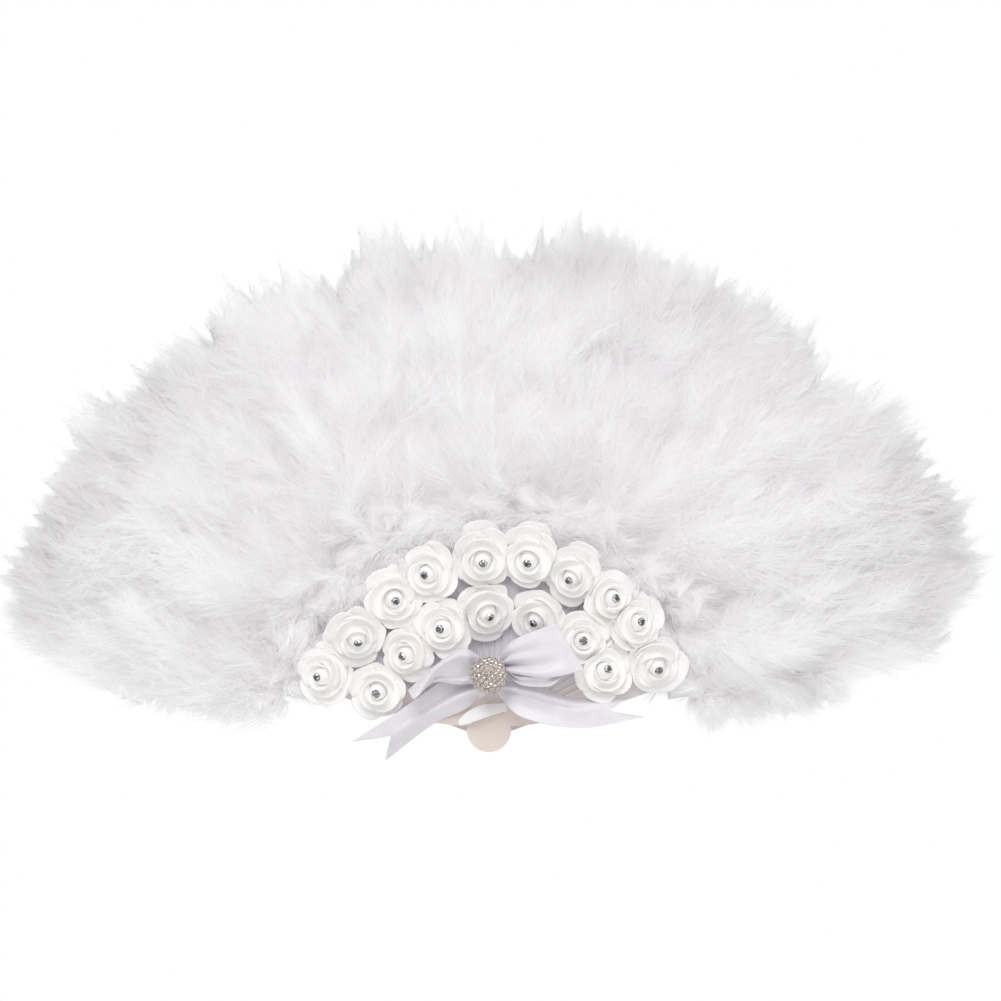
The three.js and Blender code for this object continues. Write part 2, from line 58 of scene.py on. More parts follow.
# The world's strength, and lamps in watts and metres
AMBIENT = 0.66
LAMP_SIZE = 1.1
LAMPS = {"key": (14.4, (-0.15, -1.5, 1.25)), "fill": (4.5, (0.3, 1.6, 0.9))}

# Plumes
STICKS_PER_SIDE = 5
PLUME_START = 106
RIM = 276
ROOTS_END = RIM - 38
PAD_END = RIM - 50
FRONT, BACK = -1, 1
SWELL = {FRONT: 24, BACK: 18}
OUTER_SPREAD = 18.5
OUTER_DROOP = 17
# The share of its swell that the fluff has at the plume's start, and how far on from there it has all
INNER_SWELL = 0.38
INNER_RISE = 50
# Feathers on each face of a plume, and how many times as many the wide outermost plumes hold
FEATHERS = {FRONT: 125, BACK: 75}
OUTER_TIMES = 1.75
FEATHERS_PER_TUFT = 5
GOLDEN_SHARE = 0.618
SHAFT_LENGTH = (46, 88)
SHORTEST_SHAFT = 14
# The share of tufts that reach to the rim, where their shafts are no longer than this
RIM_SHARE = 0.65
RIM_LENGTH = 105
# How far the feathers of a tuft scatter, and how far tufts and their feathers turn aside
TUFT_SCATTER = 4.5
TUFT_SWIRL = 16
TUFT_TURN = 17
FEATHER_TURN = 9
# Short fluff round the inner edge and along the lower one. Its level is its share of the swell
COLLAR_FEATHERS = 40
COLLAR_REACH = (2, 20)
COLLAR_LENGTH = (10, 20)
COLLAR_TURN = 150
COLLAR_LEVEL = (0.45, 1.1)
EDGE_FEATHERS = 45
EDGE_REACH = (5, 90)
EDGE_LENGTH = (1, 8)
EDGE_SCATTER = 2.5
EDGE_HANG = (45, 75)
EDGE_LEVEL = (0.2, 0.7)
SHAFT_WIDTH = 0.4
SHAFT_POINTS = 7
SHAFT_CURL = 0.15
BARB_LENGTH = 25
BARB_WIDTH = 0.26
BARB_POINTS = 4
# How far barbs spread from their shaft, at its root and at its tip, and how far they roll off its face
BARB_SPREAD = (68, 13)
BARB_ROLL = 12
OUTER_BARB_ROLL = -10
WISPS_PER_SIDE = 9
BARBS_PER_WISP = 7
WISP_PULL = 0.7
# How deep the fluff stands before its barbs lie over, in front of the rivet and behind it
LIE_START = {FRONT: 46, BACK: 23}
LIE_ROOM = 11
# How far wisps stand past the rim, from the shortest to the longest, and how much further a few spikes do
RIM_FUZZ = (1, 8)
RIM_SPIKES = 13
# How ragged the rim is, and its waves: radians for each degree of lean, and the start
RIM_RAGGED = 9
RIM_WAVES = [(1.55, 0), (2.3, 2), (0.95, 4)]
# Waves of the swells and hollows in the fluff: radians for each millimetre across and up
LUMP_WAVES = [(0.11, 0.05), (-0.06, 0.12), (0.17, -0.09), (0.04, 0.19)]
# Over what length the feathers turn a little greyer with painted shade, up to the rim
TIP_SHADE_FADE = 44
# Where the rim stands out or falls back: lean from upright, and reach in millimetres
TUFTS = [
    (-86, -75), (-79, 3), (-74, 11), (-60, 5), (-52, 17), (-46, -7), (-40, 9), (-35, -15), (-32, 14),
    (-28, -5), (-19, -21), (-12, 12), (-8, -15), (-3, 8), (1, -6), (4, -16), (10, 9), (15, 10), (24, 8),
    (33, 12), (39, 6), (44, -9), (51, 23), (55, 13), (61, 5), (65, 19), (72, 20), (80, -17), (87, -75),
]
TUFT_WIDTH = 3

# Front plate: where its ivory head ends and its ribs begin, which carry painted shade
HEAD_TOP = 12
RIBS_START = 30
# Scale and detail of the plastic's grain, then the strength and depth of its bump
PLASTIC_GRAIN = (700, 3, 0.15, 0.08)

# Roses
ROSE_HEIGHT = 18
GOLDEN_ANGLE = 137.5
FOAM_THICKNESS = 0.9
# Whorls of petals: half the arc that they cover together, how far each wanders round, the ranges of its rim,
# top and tuck, and its shape. The outer whorl has 4 or 5 petals.
OUTER_PETALS = (4, 6)
OUTER_WHORL = {
    "arc": 244, "wander": 12, "rims": (13.8, 17), "tops": (7.5, 11), "tucks": (0.6, 1.4),
    "shape": {"foot": 5, "low": 0.8, "roll": 1.5, "cup": 1.6},
}
INNER_PETALS = 3
INNER_TURN = 30
INNER_WHORL = {
    "arc": 234, "wander": 18, "rims": (9.8, 11.8), "tops": (11.9, 14.4), "tucks": (0.6, 1.2),
    "shape": {"foot": 5.6, "low": 1.5, "roll": 1, "cup": 2.2},
}
BUD_STRIP = {
    "turns": 1.2, "inner": 5.4, "outer": 7.2, "low": 4, "inner_top": 16.6, "outer_top": 15, "flare": 0.7,
}
# Radius and height of the bud under the stone, and of the closed petals at the bottom of the cup
BUD_PROFILE = [(5.2, 8), (4.6, 12.6), (3.9, 15.2), (2.9, 16.7), (1.8, 17.2), (0.4, 17.3)]
CUP_PROFILE = [(5, 2), (11.8, 4.4), (10, 6.4), (7.4, 8.2), (4.9, 9.4), (3.5, 9.6)]
# How far each stone leans to the right and upwards, from the left end of each arc
ROSE_LEANS = {
    "outer": [
        (-5.5, -0.5), (1.9, -5.5), (1.9, -2.1), (-3.9, -1.7), (0.8, -4),
        (-2.2, -3.5), (-4, -4), (3.9, 0), (5.5, 1), (2.5, -5),
    ],
    "inner": [(-1.7, -2), (-5, -1.7), (-2.8, 0), (3.3, -5), (-4.5, -4.5), (0, 0.5), (3.3, 2.5)],
}
# Roses with a large petal standing up behind them: the petal's lean from upright, and its reach
BACK_PETALS = {"rose_outer_5": (-4, 20), "rose_outer_6": (8, 19.5), "rose_outer_7": (24, 18)}
BACK_PETAL = {"spread": 42, "foot": 6, "low": 0.6, "high": 6.5, "roll": 0.6, "cup": 1.2, "tuck": 0}
# Roses this near press each other, up to a plane a little past halfway, from a share of the way there
PRESSED_WITHIN = 36
PRESS_OVERLAP = 1.1
PRESS_START = 0.84
STONE_RADIUS = 2.4
STONE_HEIGHT = 17.3
STONE_SIDES = 8

# Bow
RIBBON_WIDTH = 28
RIBBON_THICKNESS = 0.5
LOOP_DEPTH = 7
LOOP_FORWARD = 15
TAIL_NOTCH = 11
# Upper and lower edges of each ribbon from the knot outwards, to the right of the ball and above it. Folds
# stand forward by so much at shares of its width, from its lower edge up: near the knot, then at its end.
# They deepen until the ribbon is as wide across them as the share that it keeps of its width, near the knot
# and at its end. A loop's rear half hangs below its front half by its drop.
RIGHT_LOOP = {
    "upper": [(5.5, 7), (10, 16), (20, 22), (36.6, 28)],
    "lower": [(6, 2.5), (15, 0.6), (32, -1), (51.3, 3)],
    "folds": [(0, 0.5), (0.12, 3), (0.3, -3), (0.48, 1.6), (0.66, -0.4), (0.84, 1.2), (1, -1.5)],
    "end_folds": [(0, 0), (0.15, 1.6), (0.32, -1), (0.55, 0.8), (1, -0.6)],
    "kept": (1.04, 1),
    "drop": 7.5,
}
LEFT_LOOP = {
    "upper": [(-5.5, 10), (-14, 13.8), (-27, 6.6), (-43.7, -8.6)],
    "lower": [(-5.5, -5), (-16, -5.6), (-29.5, -4.2), (-40.2, -12.1)],
    "folds": [(0, -5), (0.25, -2), (0.55, 0.5), (0.84, 3), (0.93, 1.5), (1, -3)],
    "end_folds": [(0, 5), (0.4, 3), (1, -7)],
    "kept": (1, 0.75),
    "drop": 0,
}
LEFT_TAIL = {
    "upper": [(-2, 0), (-23, -3), (-46.6, -18.7), (-73.9, -36.3)],
    "lower": [(-1, -11.5), (-13, -20), (-31.3, -28.7), (-56.6, -47.9)],
    "forward": [5, 9, 11, 12],
    "folds": [(0, -7), (0.22, -3), (0.42, 2.5), (0.6, -2), (1, -2)],
    "end_folds": [(0, -9), (0.5, 0), (1, 3)],
    "kept": (1, 0.95),
}
RIGHT_TAIL = {
    "upper": [(4, -5), (24, -6.6), (47, -13.7), (74.2, -14.4)],
    "lower": [(5, -11.5), (19, -23.5), (50, -28.4), (83.4, -22.5)],
    "forward": [6, 12, 14, 13],
    "folds": [(0, 3), (0.3, 1.5), (0.6, -1), (0.84, 2), (1, -4)],
    "end_folds": [(0, 6), (0.5, 0), (1, -6)],
    "kept": (1, 0.75),
}
# The strip tucked under the knot: its edges to the right of the rivet and above it
TUCK = {
    "upper": [(-17, 5.2), (-11.5, 10.2), (-3, 14), (9, 14.8)],
    "lower": [(-15.8, 2.4), (-8, 4.4), (1, 7.4), (10, 10)],
}
TUCK_WIDTH = 10
TUCK_FOLD = 0.32
TUCK_STITCHES = 13
STITCH_PROFILE = [(0.02, -0.75), (0.3, -0.5), (0.34, 0), (0.3, 0.5), (0.02, 0.75)]
LINK_WIDTH = 10
LINK_RADIUS = 92
LINK_OFF_STICK = 0.55
# Stones on the ball, how closely they are packed, and how deep its core lies
BALL_STONES = 150
BALL_PACKING = 1.927
BALL_CORE_DEPTH = 0.9

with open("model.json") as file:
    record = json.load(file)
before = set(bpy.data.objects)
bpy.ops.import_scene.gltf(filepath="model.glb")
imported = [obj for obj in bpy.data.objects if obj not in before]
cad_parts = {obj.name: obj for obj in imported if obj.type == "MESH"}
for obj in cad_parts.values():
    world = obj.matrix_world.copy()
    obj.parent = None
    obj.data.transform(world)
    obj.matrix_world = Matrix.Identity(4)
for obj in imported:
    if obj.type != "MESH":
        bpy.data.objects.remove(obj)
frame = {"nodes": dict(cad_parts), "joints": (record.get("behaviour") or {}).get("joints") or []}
scene = bpy.context.scene
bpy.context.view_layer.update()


# Numbers
def smooth(value, start, end):
    share = np.clip((value - start) / (end - start), 0, 1)
    return share * share * (3 - 2 * share)


def unit(vectors):
    return vectors / np.maximum(np.linalg.norm(vectors, axis=-1, keepdims=True), 1e-9)


def lerp(start, end, share):
    return start + (end - start) * share


def softly_limited(value, limit, room):
    """Lets a value pass its limit by less and less, and by no more than its room."""
    over = np.maximum(value - limit, 0)
    return np.minimum(value, limit) + room * (1 - np.exp(-over / room))


def box_of(node):
    """A node's lowest and highest corners."""
    return np.array(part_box(node)) / MM


def middle_of(node):
    return box_of(node).mean(0)


def length_of(points):
    return float(np.linalg.norm(np.diff(points, axis=0), axis=1).sum())


def curve_through(points, shares):
    """Points on a Catmull-Rom curve through the given ones, at shares of its run."""
    points = np.array(points, float)
    ends = np.vstack([2 * points[0] - points[1], points, 2 * points[-1] - points[-2]])
    place = np.clip(np.asarray(shares, float), 0, 1) * (len(points) - 1)
    step = np.minimum(place.astype(int), len(points) - 2)
    t = (place - step)[:, None]
    a, b, c, d = (ends[step + i] for i in range(4))
    return 0.5 * (2 * b + (c - a) * t + (2 * a - 5 * b + 4 * c - d) * t**2 + (3 * b - a - 3 * c + d) * t**3)


def around(radius, angle, height):
    """Points round the Z axis, at angles in radians."""
    return np.stack(np.broadcast_arrays(radius * np.cos(angle), radius * np.sin(angle), height), -1)


def flat_points(radius, lean):
    """Points round the rivet, at leans from upright."""
    turn = np.radians(lean)
    return np.stack(np.broadcast_arrays(radius * np.sin(turn), 0.0, radius * np.cos(turn)), -1)


def radius_of(points):
    return np.hypot(points[..., 0], points[..., 2])


def lean_of(points):
    return np.degrees(np.arctan2(points[..., 0], points[..., 2]))


# Meshes
def new_object(name, data):
    made = bpy.data.objects.new(name, data)
    scene.collection.objects.link(made)
    return made


def mesh_object(name, points, quads, triangles=(), smoothed=True):
    """A mesh object from points in millimetres and arrays of faces."""
    groups = [np.asarray(quads, int).reshape(-1, 4), np.asarray(triangles, int).reshape(-1, 3)]
    corners = np.concatenate([group.ravel() for group in groups])
    sizes = np.concatenate([np.full(len(group), group.shape[1]) for group in groups])
    starts = np.concatenate([[0], np.cumsum(sizes)[:-1]])
    mesh = bpy.data.meshes.new(name)
    mesh.vertices.add(len(points))
    mesh.vertices.foreach_set("co", (np.asarray(points) * MM).astype(np.float32).ravel())
    mesh.loops.add(len(corners))
    mesh.loops.foreach_set("vertex_index", corners.astype(np.int32))
    mesh.polygons.add(len(sizes))
    mesh.polygons.foreach_set("loop_start", starts.astype(np.int32))
    mesh.polygons.foreach_set("use_smooth", np.full(len(sizes), smoothed))
    mesh.update(calc_edges=True)
    return new_object(name, mesh)


def grid_quads(rows, columns, first=0):
    row, column = np.meshgrid(np.arange(rows - 1), np.arange(columns - 1), indexing="ij")
    corner = first + (row * columns + column).ravel()
    return np.stack([corner, corner + 1, corner + columns + 1, corner + columns], 1)


def rim_of(rows, columns):
    """The indices round the edge of a grid, in order."""
    index = np.arange(rows * columns).reshape(rows, columns)
    return np.concatenate([index[0], index[1:, -1], index[-1, -2::-1], index[-2:0:-1, 0]])


def thick_sheet(grid, thickness):
    """A closed sheet with half-round edges about a grid of points, as points and quads."""
    rows, columns = grid.shape[:2]
    along = np.gradient(grid, axis=0)
    across = np.gradient(grid, axis=1)
    normal = unit(np.cross(across, along)) * thickness / 2
    outward = np.zeros_like(grid)
    outward[0] -= unit(along[0])
    outward[-1] += unit(along[-1])
    outward[:, 0] -= unit(across[:, 0])
    outward[:, -1] += unit(across[:, -1])
    rim = rim_of(rows, columns)
    edge = (grid + unit(outward) * thickness / 2).reshape(-1, 3)[rim]
    count = rows * columns
    points = np.concatenate([(grid + normal).reshape(-1, 3), (grid - normal).reshape(-1, 3), edge])
    front = grid_quads(rows, columns)
    back = grid_quads(rows, columns, count)[:, ::-1]
    here = np.arange(len(rim))
    after = (here + 1) % len(rim)
    ring = 2 * count
    near = np.stack([rim[after], rim[here], ring + here, ring + after], 1)
    far = np.stack([ring + after, ring + here, count + rim[here], count + rim[after]], 1)
    return points, np.concatenate([front, back, near, far])


def joined(parts):
    """One set of points and faces from several, each of points and one or more arrays of faces."""
    points, *kinds = zip(*parts)
    firsts = np.cumsum([0] + [len(some) for some in points])
    faces = [[some + first for some, first in zip(kind, firsts)] for kind in kinds]
    return np.concatenate(points), *map(np.concatenate, faces)


def turned(profile, sides=24):
    """A surface turned about the Z axis from a profile of radius and height, as points and quads."""
    radius, height = np.array(profile, float).T
    angle = np.linspace(0, 2 * math.pi, sides, endpoint=False)
    points = around(radius[:, None], angle, height[:, None])
    row, column = np.meshgrid(np.arange(len(radius) - 1), np.arange(sides), indexing="ij")
    a = (row * sides + column).ravel()
    b = (row * sides + (column + 1) % sides).ravel()
    return points.reshape(-1, 3), np.stack([a, b, b + sides, a + sides], 1)


def dressed(piece, material, slot, body, *nodes):
    """Gives a piece its material and its place in the frame."""
    piece.data.materials.append(material)
    if body:
        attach(piece, body)
    if nodes:
        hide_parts(*nodes)
    return piece


# Materials
def new_material(name):
    material = bpy.data.materials.new(name)
    material.use_nodes = True
    tree = material.node_tree
    return material, tree, tree.nodes["Principled BSDF"]


def set_inputs(node, values):
    for name, value in dict(values).items():
        node.inputs[name].default_value = value


def add_node(tree, kind, values=(), links=(), **settings):
    """A new shader node, with its settings, and its inputs set to values or linked to outputs."""
    node = tree.nodes.new("ShaderNode" + kind)
    for name, setting in settings.items():
        setattr(node, name, setting)
    set_inputs(node, values)
    for name, source in dict(links).items():
        tree.links.new(source, node.inputs[name])
    return node


def object_place(tree):
    return add_node(tree, "TexCoord").outputs["Object"]


def colour(red, green, blue):
    """A linear colour from one written in sRGB numbers from 0 to 255."""
    parts = []
    for part in (red, green, blue):
        share = part / 255
        parts.append(share / 12.92 if share <= 0.04045 else ((share + 0.055) / 1.055) ** 2.4)
    return (*parts, 1)


def noise(tree, scale, detail):
    texture = add_node(tree, "TexNoise", {"Scale": scale, "Detail": detail}, {"Vector": object_place(tree)})
    return texture.outputs["Fac"]


def ramp(tree, source, stops):
    """A colour ramp over a number, with stops of (place, sRGB colour) in order."""
    made = add_node(tree, "ValToRGB", links={"Fac": source})
    elements = made.color_ramp.elements
    first, *between, last = stops
    for element, (place, shade) in zip(elements, (first, last)):
        element.position = place
        element.color = colour(*shade)
    for place, shade in between:
        elements.new(place).color = colour(*shade)
    return made.outputs["Color"]


def spread_over(tree, value, start, end):
    """How far a length lies from start to end, from 0 to 1."""
    ends = {"From Min": start * MM, "From Max": end * MM}
    return add_node(tree, "MapRange", ends, {"Value": value}).outputs["Result"]


def bump(tree, shader, height, strength, depth):
    made = add_node(tree, "Bump", {"Strength": strength, "Distance": depth * MM}, {"Height": height})
    tree.links.new(made.outputs["Normal"], shader.inputs["Normal"])


def feather_material():
    """White down that lets light through, with painted shade that makes it a little greyer towards the rim.
    """
    material, tree, shader = new_material("marabou")
    patches = noise(tree, 28, 3)
    full = ramp(tree, patches, [(0.32, (253, 252.5, 253)), (0.6, (254.6, 254.2, 254.6))])
    # Painted shade: the down near the rim is painted greyer than the rest
    painted_rim_shade = ramp(tree, patches, [(0.32, (243.8, 243, 243.6)), (0.6, (248.8, 248, 248.6))])
    out = add_node(tree, "VectorMath", links={0: object_place(tree)}, operation="LENGTH")
    rim_shade_share = spread_over(tree, out.outputs["Value"], RIM - TIP_SHADE_FADE, RIM)
    shade = add_node(tree, "Mix", data_type="RGBA")
    for name, source in (("Factor", rim_shade_share), ("A", full), ("B", painted_rim_shade)):
        tree.links.new(source, shade.inputs[name])
    tree.links.new(shade.outputs["Result"], shader.inputs["Base Color"])
    set_inputs(shader, {"Roughness": 0.8, "Specular IOR Level": 0.2})
    through = add_node(tree, "BsdfTranslucent", links={"Color": shade.outputs["Result"]})
    ways = {1: shader.outputs["BSDF"], 2: through.outputs["BSDF"]}
    mixed = add_node(tree, "MixShader", {"Fac": 0.42}, ways)
    tree.links.new(mixed.outputs["Shader"], tree.nodes["Material Output"].inputs["Surface"])
    return material


def mottled_material(name, low, high, patches, finish, grain=None, stops=(0.3, 0.7)):
    """A material of two shades in patches of a noise's scale and detail, and with a grain if there is one."""
    material, tree, shader = new_material(name)
    shade = ramp(tree, noise(tree, *patches), list(zip(stops, (low, high))))
    tree.links.new(shade, shader.inputs["Base Color"])
    set_inputs(shader, finish)
    if grain:
        bump(tree, shader, noise(tree, *grain[:2]), *grain[2:])
    return material


def satin_material(name, low, high):
    """Satin whose threads run along the ribbon."""
    finish = {"Roughness": 0.34, "Specular IOR Level": 0.5, "Sheen Weight": 0.2, "Sheen Roughness": 0.4}
    material = mottled_material(name, low, high, (120, 2), finish)
    tree = material.node_tree
    place = add_node(tree, "UVMap", uv_map="weave")
    weave = {"Scale": 0.65, "Distortion": 0.6, "Detail": 2}
    threads = add_node(tree, "TexWave", weave, {"Vector": place.outputs["UV"]}, bands_direction="X")
    bump(tree, tree.nodes["Principled BSDF"], threads.outputs["Fac"], 0.12, 0.06)
    return material


def plastic_material(name, low, high, roughness):
    finish = {"Roughness": roughness, "Specular IOR Level": 0.4}
    return mottled_material(name, low, high, (60, 4), finish, PLASTIC_GRAIN)


def plate_material():
    """Pale plastic, ivory at the head, and a cooler grey over the ribs that is painted shade from the roses
    and bow.
    """
    material, tree, shader = new_material("plate plastic")
    parts = add_node(tree, "SeparateXYZ", links={"Vector": object_place(tree)})
    spread = spread_over(tree, parts.outputs["Z"], HEAD_TOP, RIBS_START)
    # Painted shade: the ribs under the roses and bow are painted a cooler grey than the head
    shade = ramp(tree, spread, [(0, (234, 221, 213)), (1, (228, 226, 231))])
    tree.links.new(shade, shader.inputs["Base Color"])
    set_inputs(shader, {"Roughness": 0.42, "Specular IOR Level": 0.4})
    bump(tree, shader, noise(tree, *PLASTIC_GRAIN[:2]), *PLASTIC_GRAIN[2:])
    return material


def crystal_material(name, stops):
    """Foil-backed cut glass with painted reflections: each facet is painted its own part of a light and dark
    surrounding.
    """
    material, tree, shader = new_material(name)
    facets = add_node(tree, "Attribute", attribute_name="facet")
    tree.links.new(ramp(tree, facets.outputs["Fac"], stops), shader.inputs["Base Color"])
    set_inputs(shader, {"Metallic": 0.75, "Roughness": 0.1})
    return material


marabou = feather_material()
foam = mottled_material(
    "rose foam", (252, 250.5, 249), (254, 253.3, 252.6), (90, 3),
    {"Roughness": 0.62, "Specular IOR Level": 0.3}, (2200, 2, 0.25, 0.1), (0.3, 0.65),
)
satin = satin_material("satin", (231, 228, 234), (239, 236, 241))
# Painted light: a whiter copy of the satin for the tuck, lifting it against the shadow of the ball and knot
shade_lifted_satin = satin_material("shade-lifted satin", (252, 252, 252), (254, 254, 254))
thread = plastic_material("stitching thread", (172, 170, 173), (204, 202, 205), 0.6)
stick_plastic = plastic_material("stick plastic", (226, 217, 211), (236, 229, 224), 0.4)
plate_plastic = plate_material()
steel = mottled_material(
    "rivet steel", (168, 168, 166), (205, 205, 203), (900, 4),
    {"Metallic": 1, "Roughness": 0.32}, (1500, 2, 0.1, 0.03),
)
resin = mottled_material(
    "ball resin", (150, 140, 132), (190, 180, 172), (400, 3), {"Roughness": 0.5}
)
# Painted reflections: the crystals' facets are painted from dark to light
rose_crystal = crystal_material("rose crystal", [
    (0, (70, 70, 74)),
    (0.35, (110, 110, 112)),
    (0.7, (190, 190, 192)),
    (1, (250, 250, 250)),
])
ball_crystal = crystal_material("ball crystal", [
    (0, (142, 132, 125)),
    (0.35, (184, 173, 165)),
    (0.7, (208, 200, 193)),
    (1, (232, 227, 221)),
])


# Hard pieces that keep their solids
def dress_hard_pieces():
    finishes = {"stick_": stick_plastic, "front_plate": plate_plastic, "rivet": steel}
    for node, piece in frame["nodes"].items():
        for start, material in finishes.items():
            if node.startswith(start):
                piece.data.materials.clear()
                piece.data.materials.append(material)


# Plumes
JOINTS = {joint["name"]: joint for joint in frame["joints"]}
PITCH = JOINTS["left_fold_2"]["range_deg"][1]
STICKS = [(side, place) for place in range(1, STICKS_PER_SIDE + 1) for side in SIDES]
FRONT_DEPTH = middle_of("stick_left_1")[1]


def rim_reach(lean):
    """How far out the feathers reach at a lean from upright."""
    reach = np.full(np.shape(lean), float(RIM))
    for middle, extra in TUFTS:
        reach += extra * np.exp(-(((lean - middle) / TUFT_WIDTH) ** 2))
    ragged = sum(0.5 - np.abs(np.sin(step * lean + start)) for step, start in RIM_WAVES)
    return reach + RIM_RAGGED * ragged


def plume_share(radius):
    """How far out a radius is, from 0 at the plumes' start to 1 at their rim."""
    return (radius - PLUME_START) / (RIM - PLUME_START)


def within_rim(points, rng):
    """Draws in barbs that reach past the rim, less so in the few that stand out as spikes."""
    wisps = points.reshape(2, -1, WISPS_PER_SIDE, BARBS_PER_WISP, BARB_POINTS, 3)
    count = wisps.shape[1]
    each = (2, count, WISPS_PER_SIDE, 1, 1)
    fuzz = rng.uniform(0, 1, each) ** 2
    spikes = np.maximum(rng.uniform(0, 1, (1, count, 1, 1, 1)) ** 8 * fuzz, rng.uniform(0, 1, each) ** 12)
    room = lerp(*RIM_FUZZ, fuzz) + RIM_SPIKES * spikes
    radius = radius_of(wisps)
    kept = softly_limited(radius, rim_reach(lean_of(wisps)), room)
    wisps[..., ::2] *= (kept / radius)[..., None]
    return wisps.reshape(points.shape)


def lumps(x, z, seed):
    """A soft pattern of swells and hollows, from about -1 to 1."""
    total = sum(np.sin(a * x + b * z + seed * (i + 1)) for i, (a, b) in enumerate(LUMP_WAVES))
    return total / 2.4


def swell_at(points, plume, facing):
    """How far the fluff stands off its stick at points, of which X and Z count."""
    radius = radius_of(points)
    lean = lean_of(points)
    share = np.clip((radius - PLUME_START) / (rim_reach(lean) - PLUME_START), 0, 1)
    rise = lerp(INNER_SWELL, 1, smooth(radius, PLUME_START, PLUME_START + INNER_RISE))
    taper = np.sqrt(1 - 0.95 * share**3)
    past = np.clip((lean - plume.lean) * plume.outer / OUTER_SPREAD, 0, 1)
    lumpy = 1 + 0.16 * lumps(points[..., 0], points[..., 2], plume.seed)
    stand = SWELL[facing] * rise * taper * (1 - 0.7 * past**2) * lumpy
    if facing == FRONT:
        stand = stand + 0.9 * (plume.depth - FRONT_DEPTH) * (1 - share)
    return stand


def outer_droop(share):
    """How far the outermost plumes spread past their stick, in degrees, along their length."""
    return OUTER_DROOP * np.sqrt(1 - np.clip(share, 0, 1) ** 2.6)


def tuft_roots(rng, count, plume):
    """Where tufts are tied, evenly over the plume: radius and lean."""
    steps = np.arange(count)
    radius = np.sqrt(lerp(PLUME_START**2, ROOTS_END**2, (steps + rng.uniform(0, 1, count)) / count))
    across = (GOLDEN_SHARE * steps + rng.uniform(0, 0.4, count)) % 1
    offset = (across - 0.5) * PITCH
    if plume.outer:
        offset = plume.outer * lerp(-PITCH / 2, outer_droop(plume_share(radius)) - 2, across)
    return radius, plume.lean + offset


def tufted(rng, radius, lean, scatter):
    """The tuft of each feather, and the feathers' roots, scattered round those of their tufts."""
    each = np.repeat(np.arange(len(radius)), FEATHERS_PER_TUFT)
    roots = flat_points(radius, lean)[each]
    roots[:, ::2] += rng.normal(0, scatter, (len(each), 2))
    return each, roots


def long_feathers(rng, count, plume):
    """Feathers in tufts that share a heading: roots, heading, length and level of each."""
    tufts = count // FEATHERS_PER_TUFT
    radius, lean = tuft_roots(rng, tufts, plume)
    swirl = TUFT_SWIRL * lumps(*flat_points(radius, lean)[:, ::2].T * 0.7, plume.seed + 5)
    turned_off = 0.35 * (lean - plume.lean) + swirl + rng.normal(0, TUFT_TURN, tufts)
    margin = rng.uniform(0, 7, tufts)
    to_rim = rng.uniform(0, 1, tufts) < RIM_SHARE
    level = 1 - 0.72 * rng.uniform(0, 1, tufts) ** 1.5
    each, roots = tufted(rng, radius, lean, TUFT_SCATTER)
    total = len(each)
    out = radius_of(roots)
    here = lean_of(roots)
    room = rim_reach(here) - margin[each] - rng.uniform(0, 6, total) - out
    room = np.maximum(room, SHORTEST_SHAFT)
    length = np.minimum(rng.uniform(*SHAFT_LENGTH, total), room)
    length = np.where(to_rim[each] & (room < RIM_LENGTH), room, length)
    turned_off = turned_off[each] + rng.normal(0, FEATHER_TURN, total)
    if plume.outer:
        beyond = turned_off * plume.outer + 0.9 * (here - plume.lean) * plume.outer
        turned_off = turned_off - plume.outer * np.maximum(beyond - 2 + 7 * plume_share(out), 0)
    level = level[each] + rng.normal(0, 0.07, total)
    return roots, here + turned_off, length, np.clip(level, 0.2, 1.05)


def collar_feathers(rng, count, plume):
    """Short fluff round the plume's inner edge, which points every way and hides the plate's rim."""
    radius = PLUME_START + rng.uniform(*COLLAR_REACH, count)
    reach = outer_droop(0) - 5 if plume.outer else PITCH / 2
    offset = lerp(-PITCH / 2, reach, rng.uniform(0, 1, count))
    lean = plume.lean + offset * (plume.outer or 1)
    swing = rng.uniform(-COLLAR_TURN, COLLAR_TURN, count)
    if plume.outer:
        swing = plume.outer * rng.uniform(-5, COLLAR_TURN, count)
    length = rng.uniform(*COLLAR_LENGTH, count)
    return flat_points(radius, lean), lean + 180 + swing, length, rng.uniform(*COLLAR_LEVEL, count)


def edge_feathers(rng, count, plume):
    """Short fluff along the lower edge of an outermost plume, which hangs down in tufts."""
    tufts = count // FEATHERS_PER_TUFT
    along = (np.arange(tufts) + rng.uniform(0, 1, tufts)) / tufts
    radius = PLUME_START + lerp(*EDGE_REACH, along)
    lean = plume.lean + plume.outer * (outer_droop(plume_share(radius)) - 4)
    heading = lean + plume.outer * (lerp(*EDGE_HANG, along) + rng.uniform(-12, 12, tufts))
    each, roots = tufted(rng, radius, lean, EDGE_SCATTER)
    total = len(each)
    length = rng.uniform(*EDGE_LENGTH, total)
    return roots, heading[each] + rng.normal(0, 10, total), length, rng.uniform(*EDGE_LEVEL, total)


def strips(centres, widths, facing):
    """Tapered strips along rows of points, each ending in a point: points, quads and triangles."""
    count, steps = centres.shape[:2]
    along = np.gradient(centres, axis=1)
    sideways = unit(np.cross(along, facing)) * widths / 2
    body = slice(0, steps - 1)
    pairs = np.stack([centres[:, body] - sideways[:, body], centres[:, body] + sideways[:, body]], 2)
    each = 2 * (steps - 1) + 1
    points = np.concatenate([pairs.reshape(count, -1, 3), centres[:, -1:]], 1)
    first = np.arange(count)[:, None] * each
    step = np.arange(steps - 2)[None, :] * 2
    corner = (first + step).ravel()
    quads = np.stack([corner, corner + 1, corner + 3, corner + 2], 1)
    last = first.ravel() + each - 3
    triangles = np.stack([last, last + 1, last + 2], 1)
    return points.reshape(-1, 3), quads, triangles


def laid_over(points, facing):
    """Bends barbs that stand far out to lie over, so that the fluff keeps its depth."""
    points[..., 1] = facing * softly_limited(facing * points[..., 1], LIE_START[facing], LIE_ROOM)
    return points


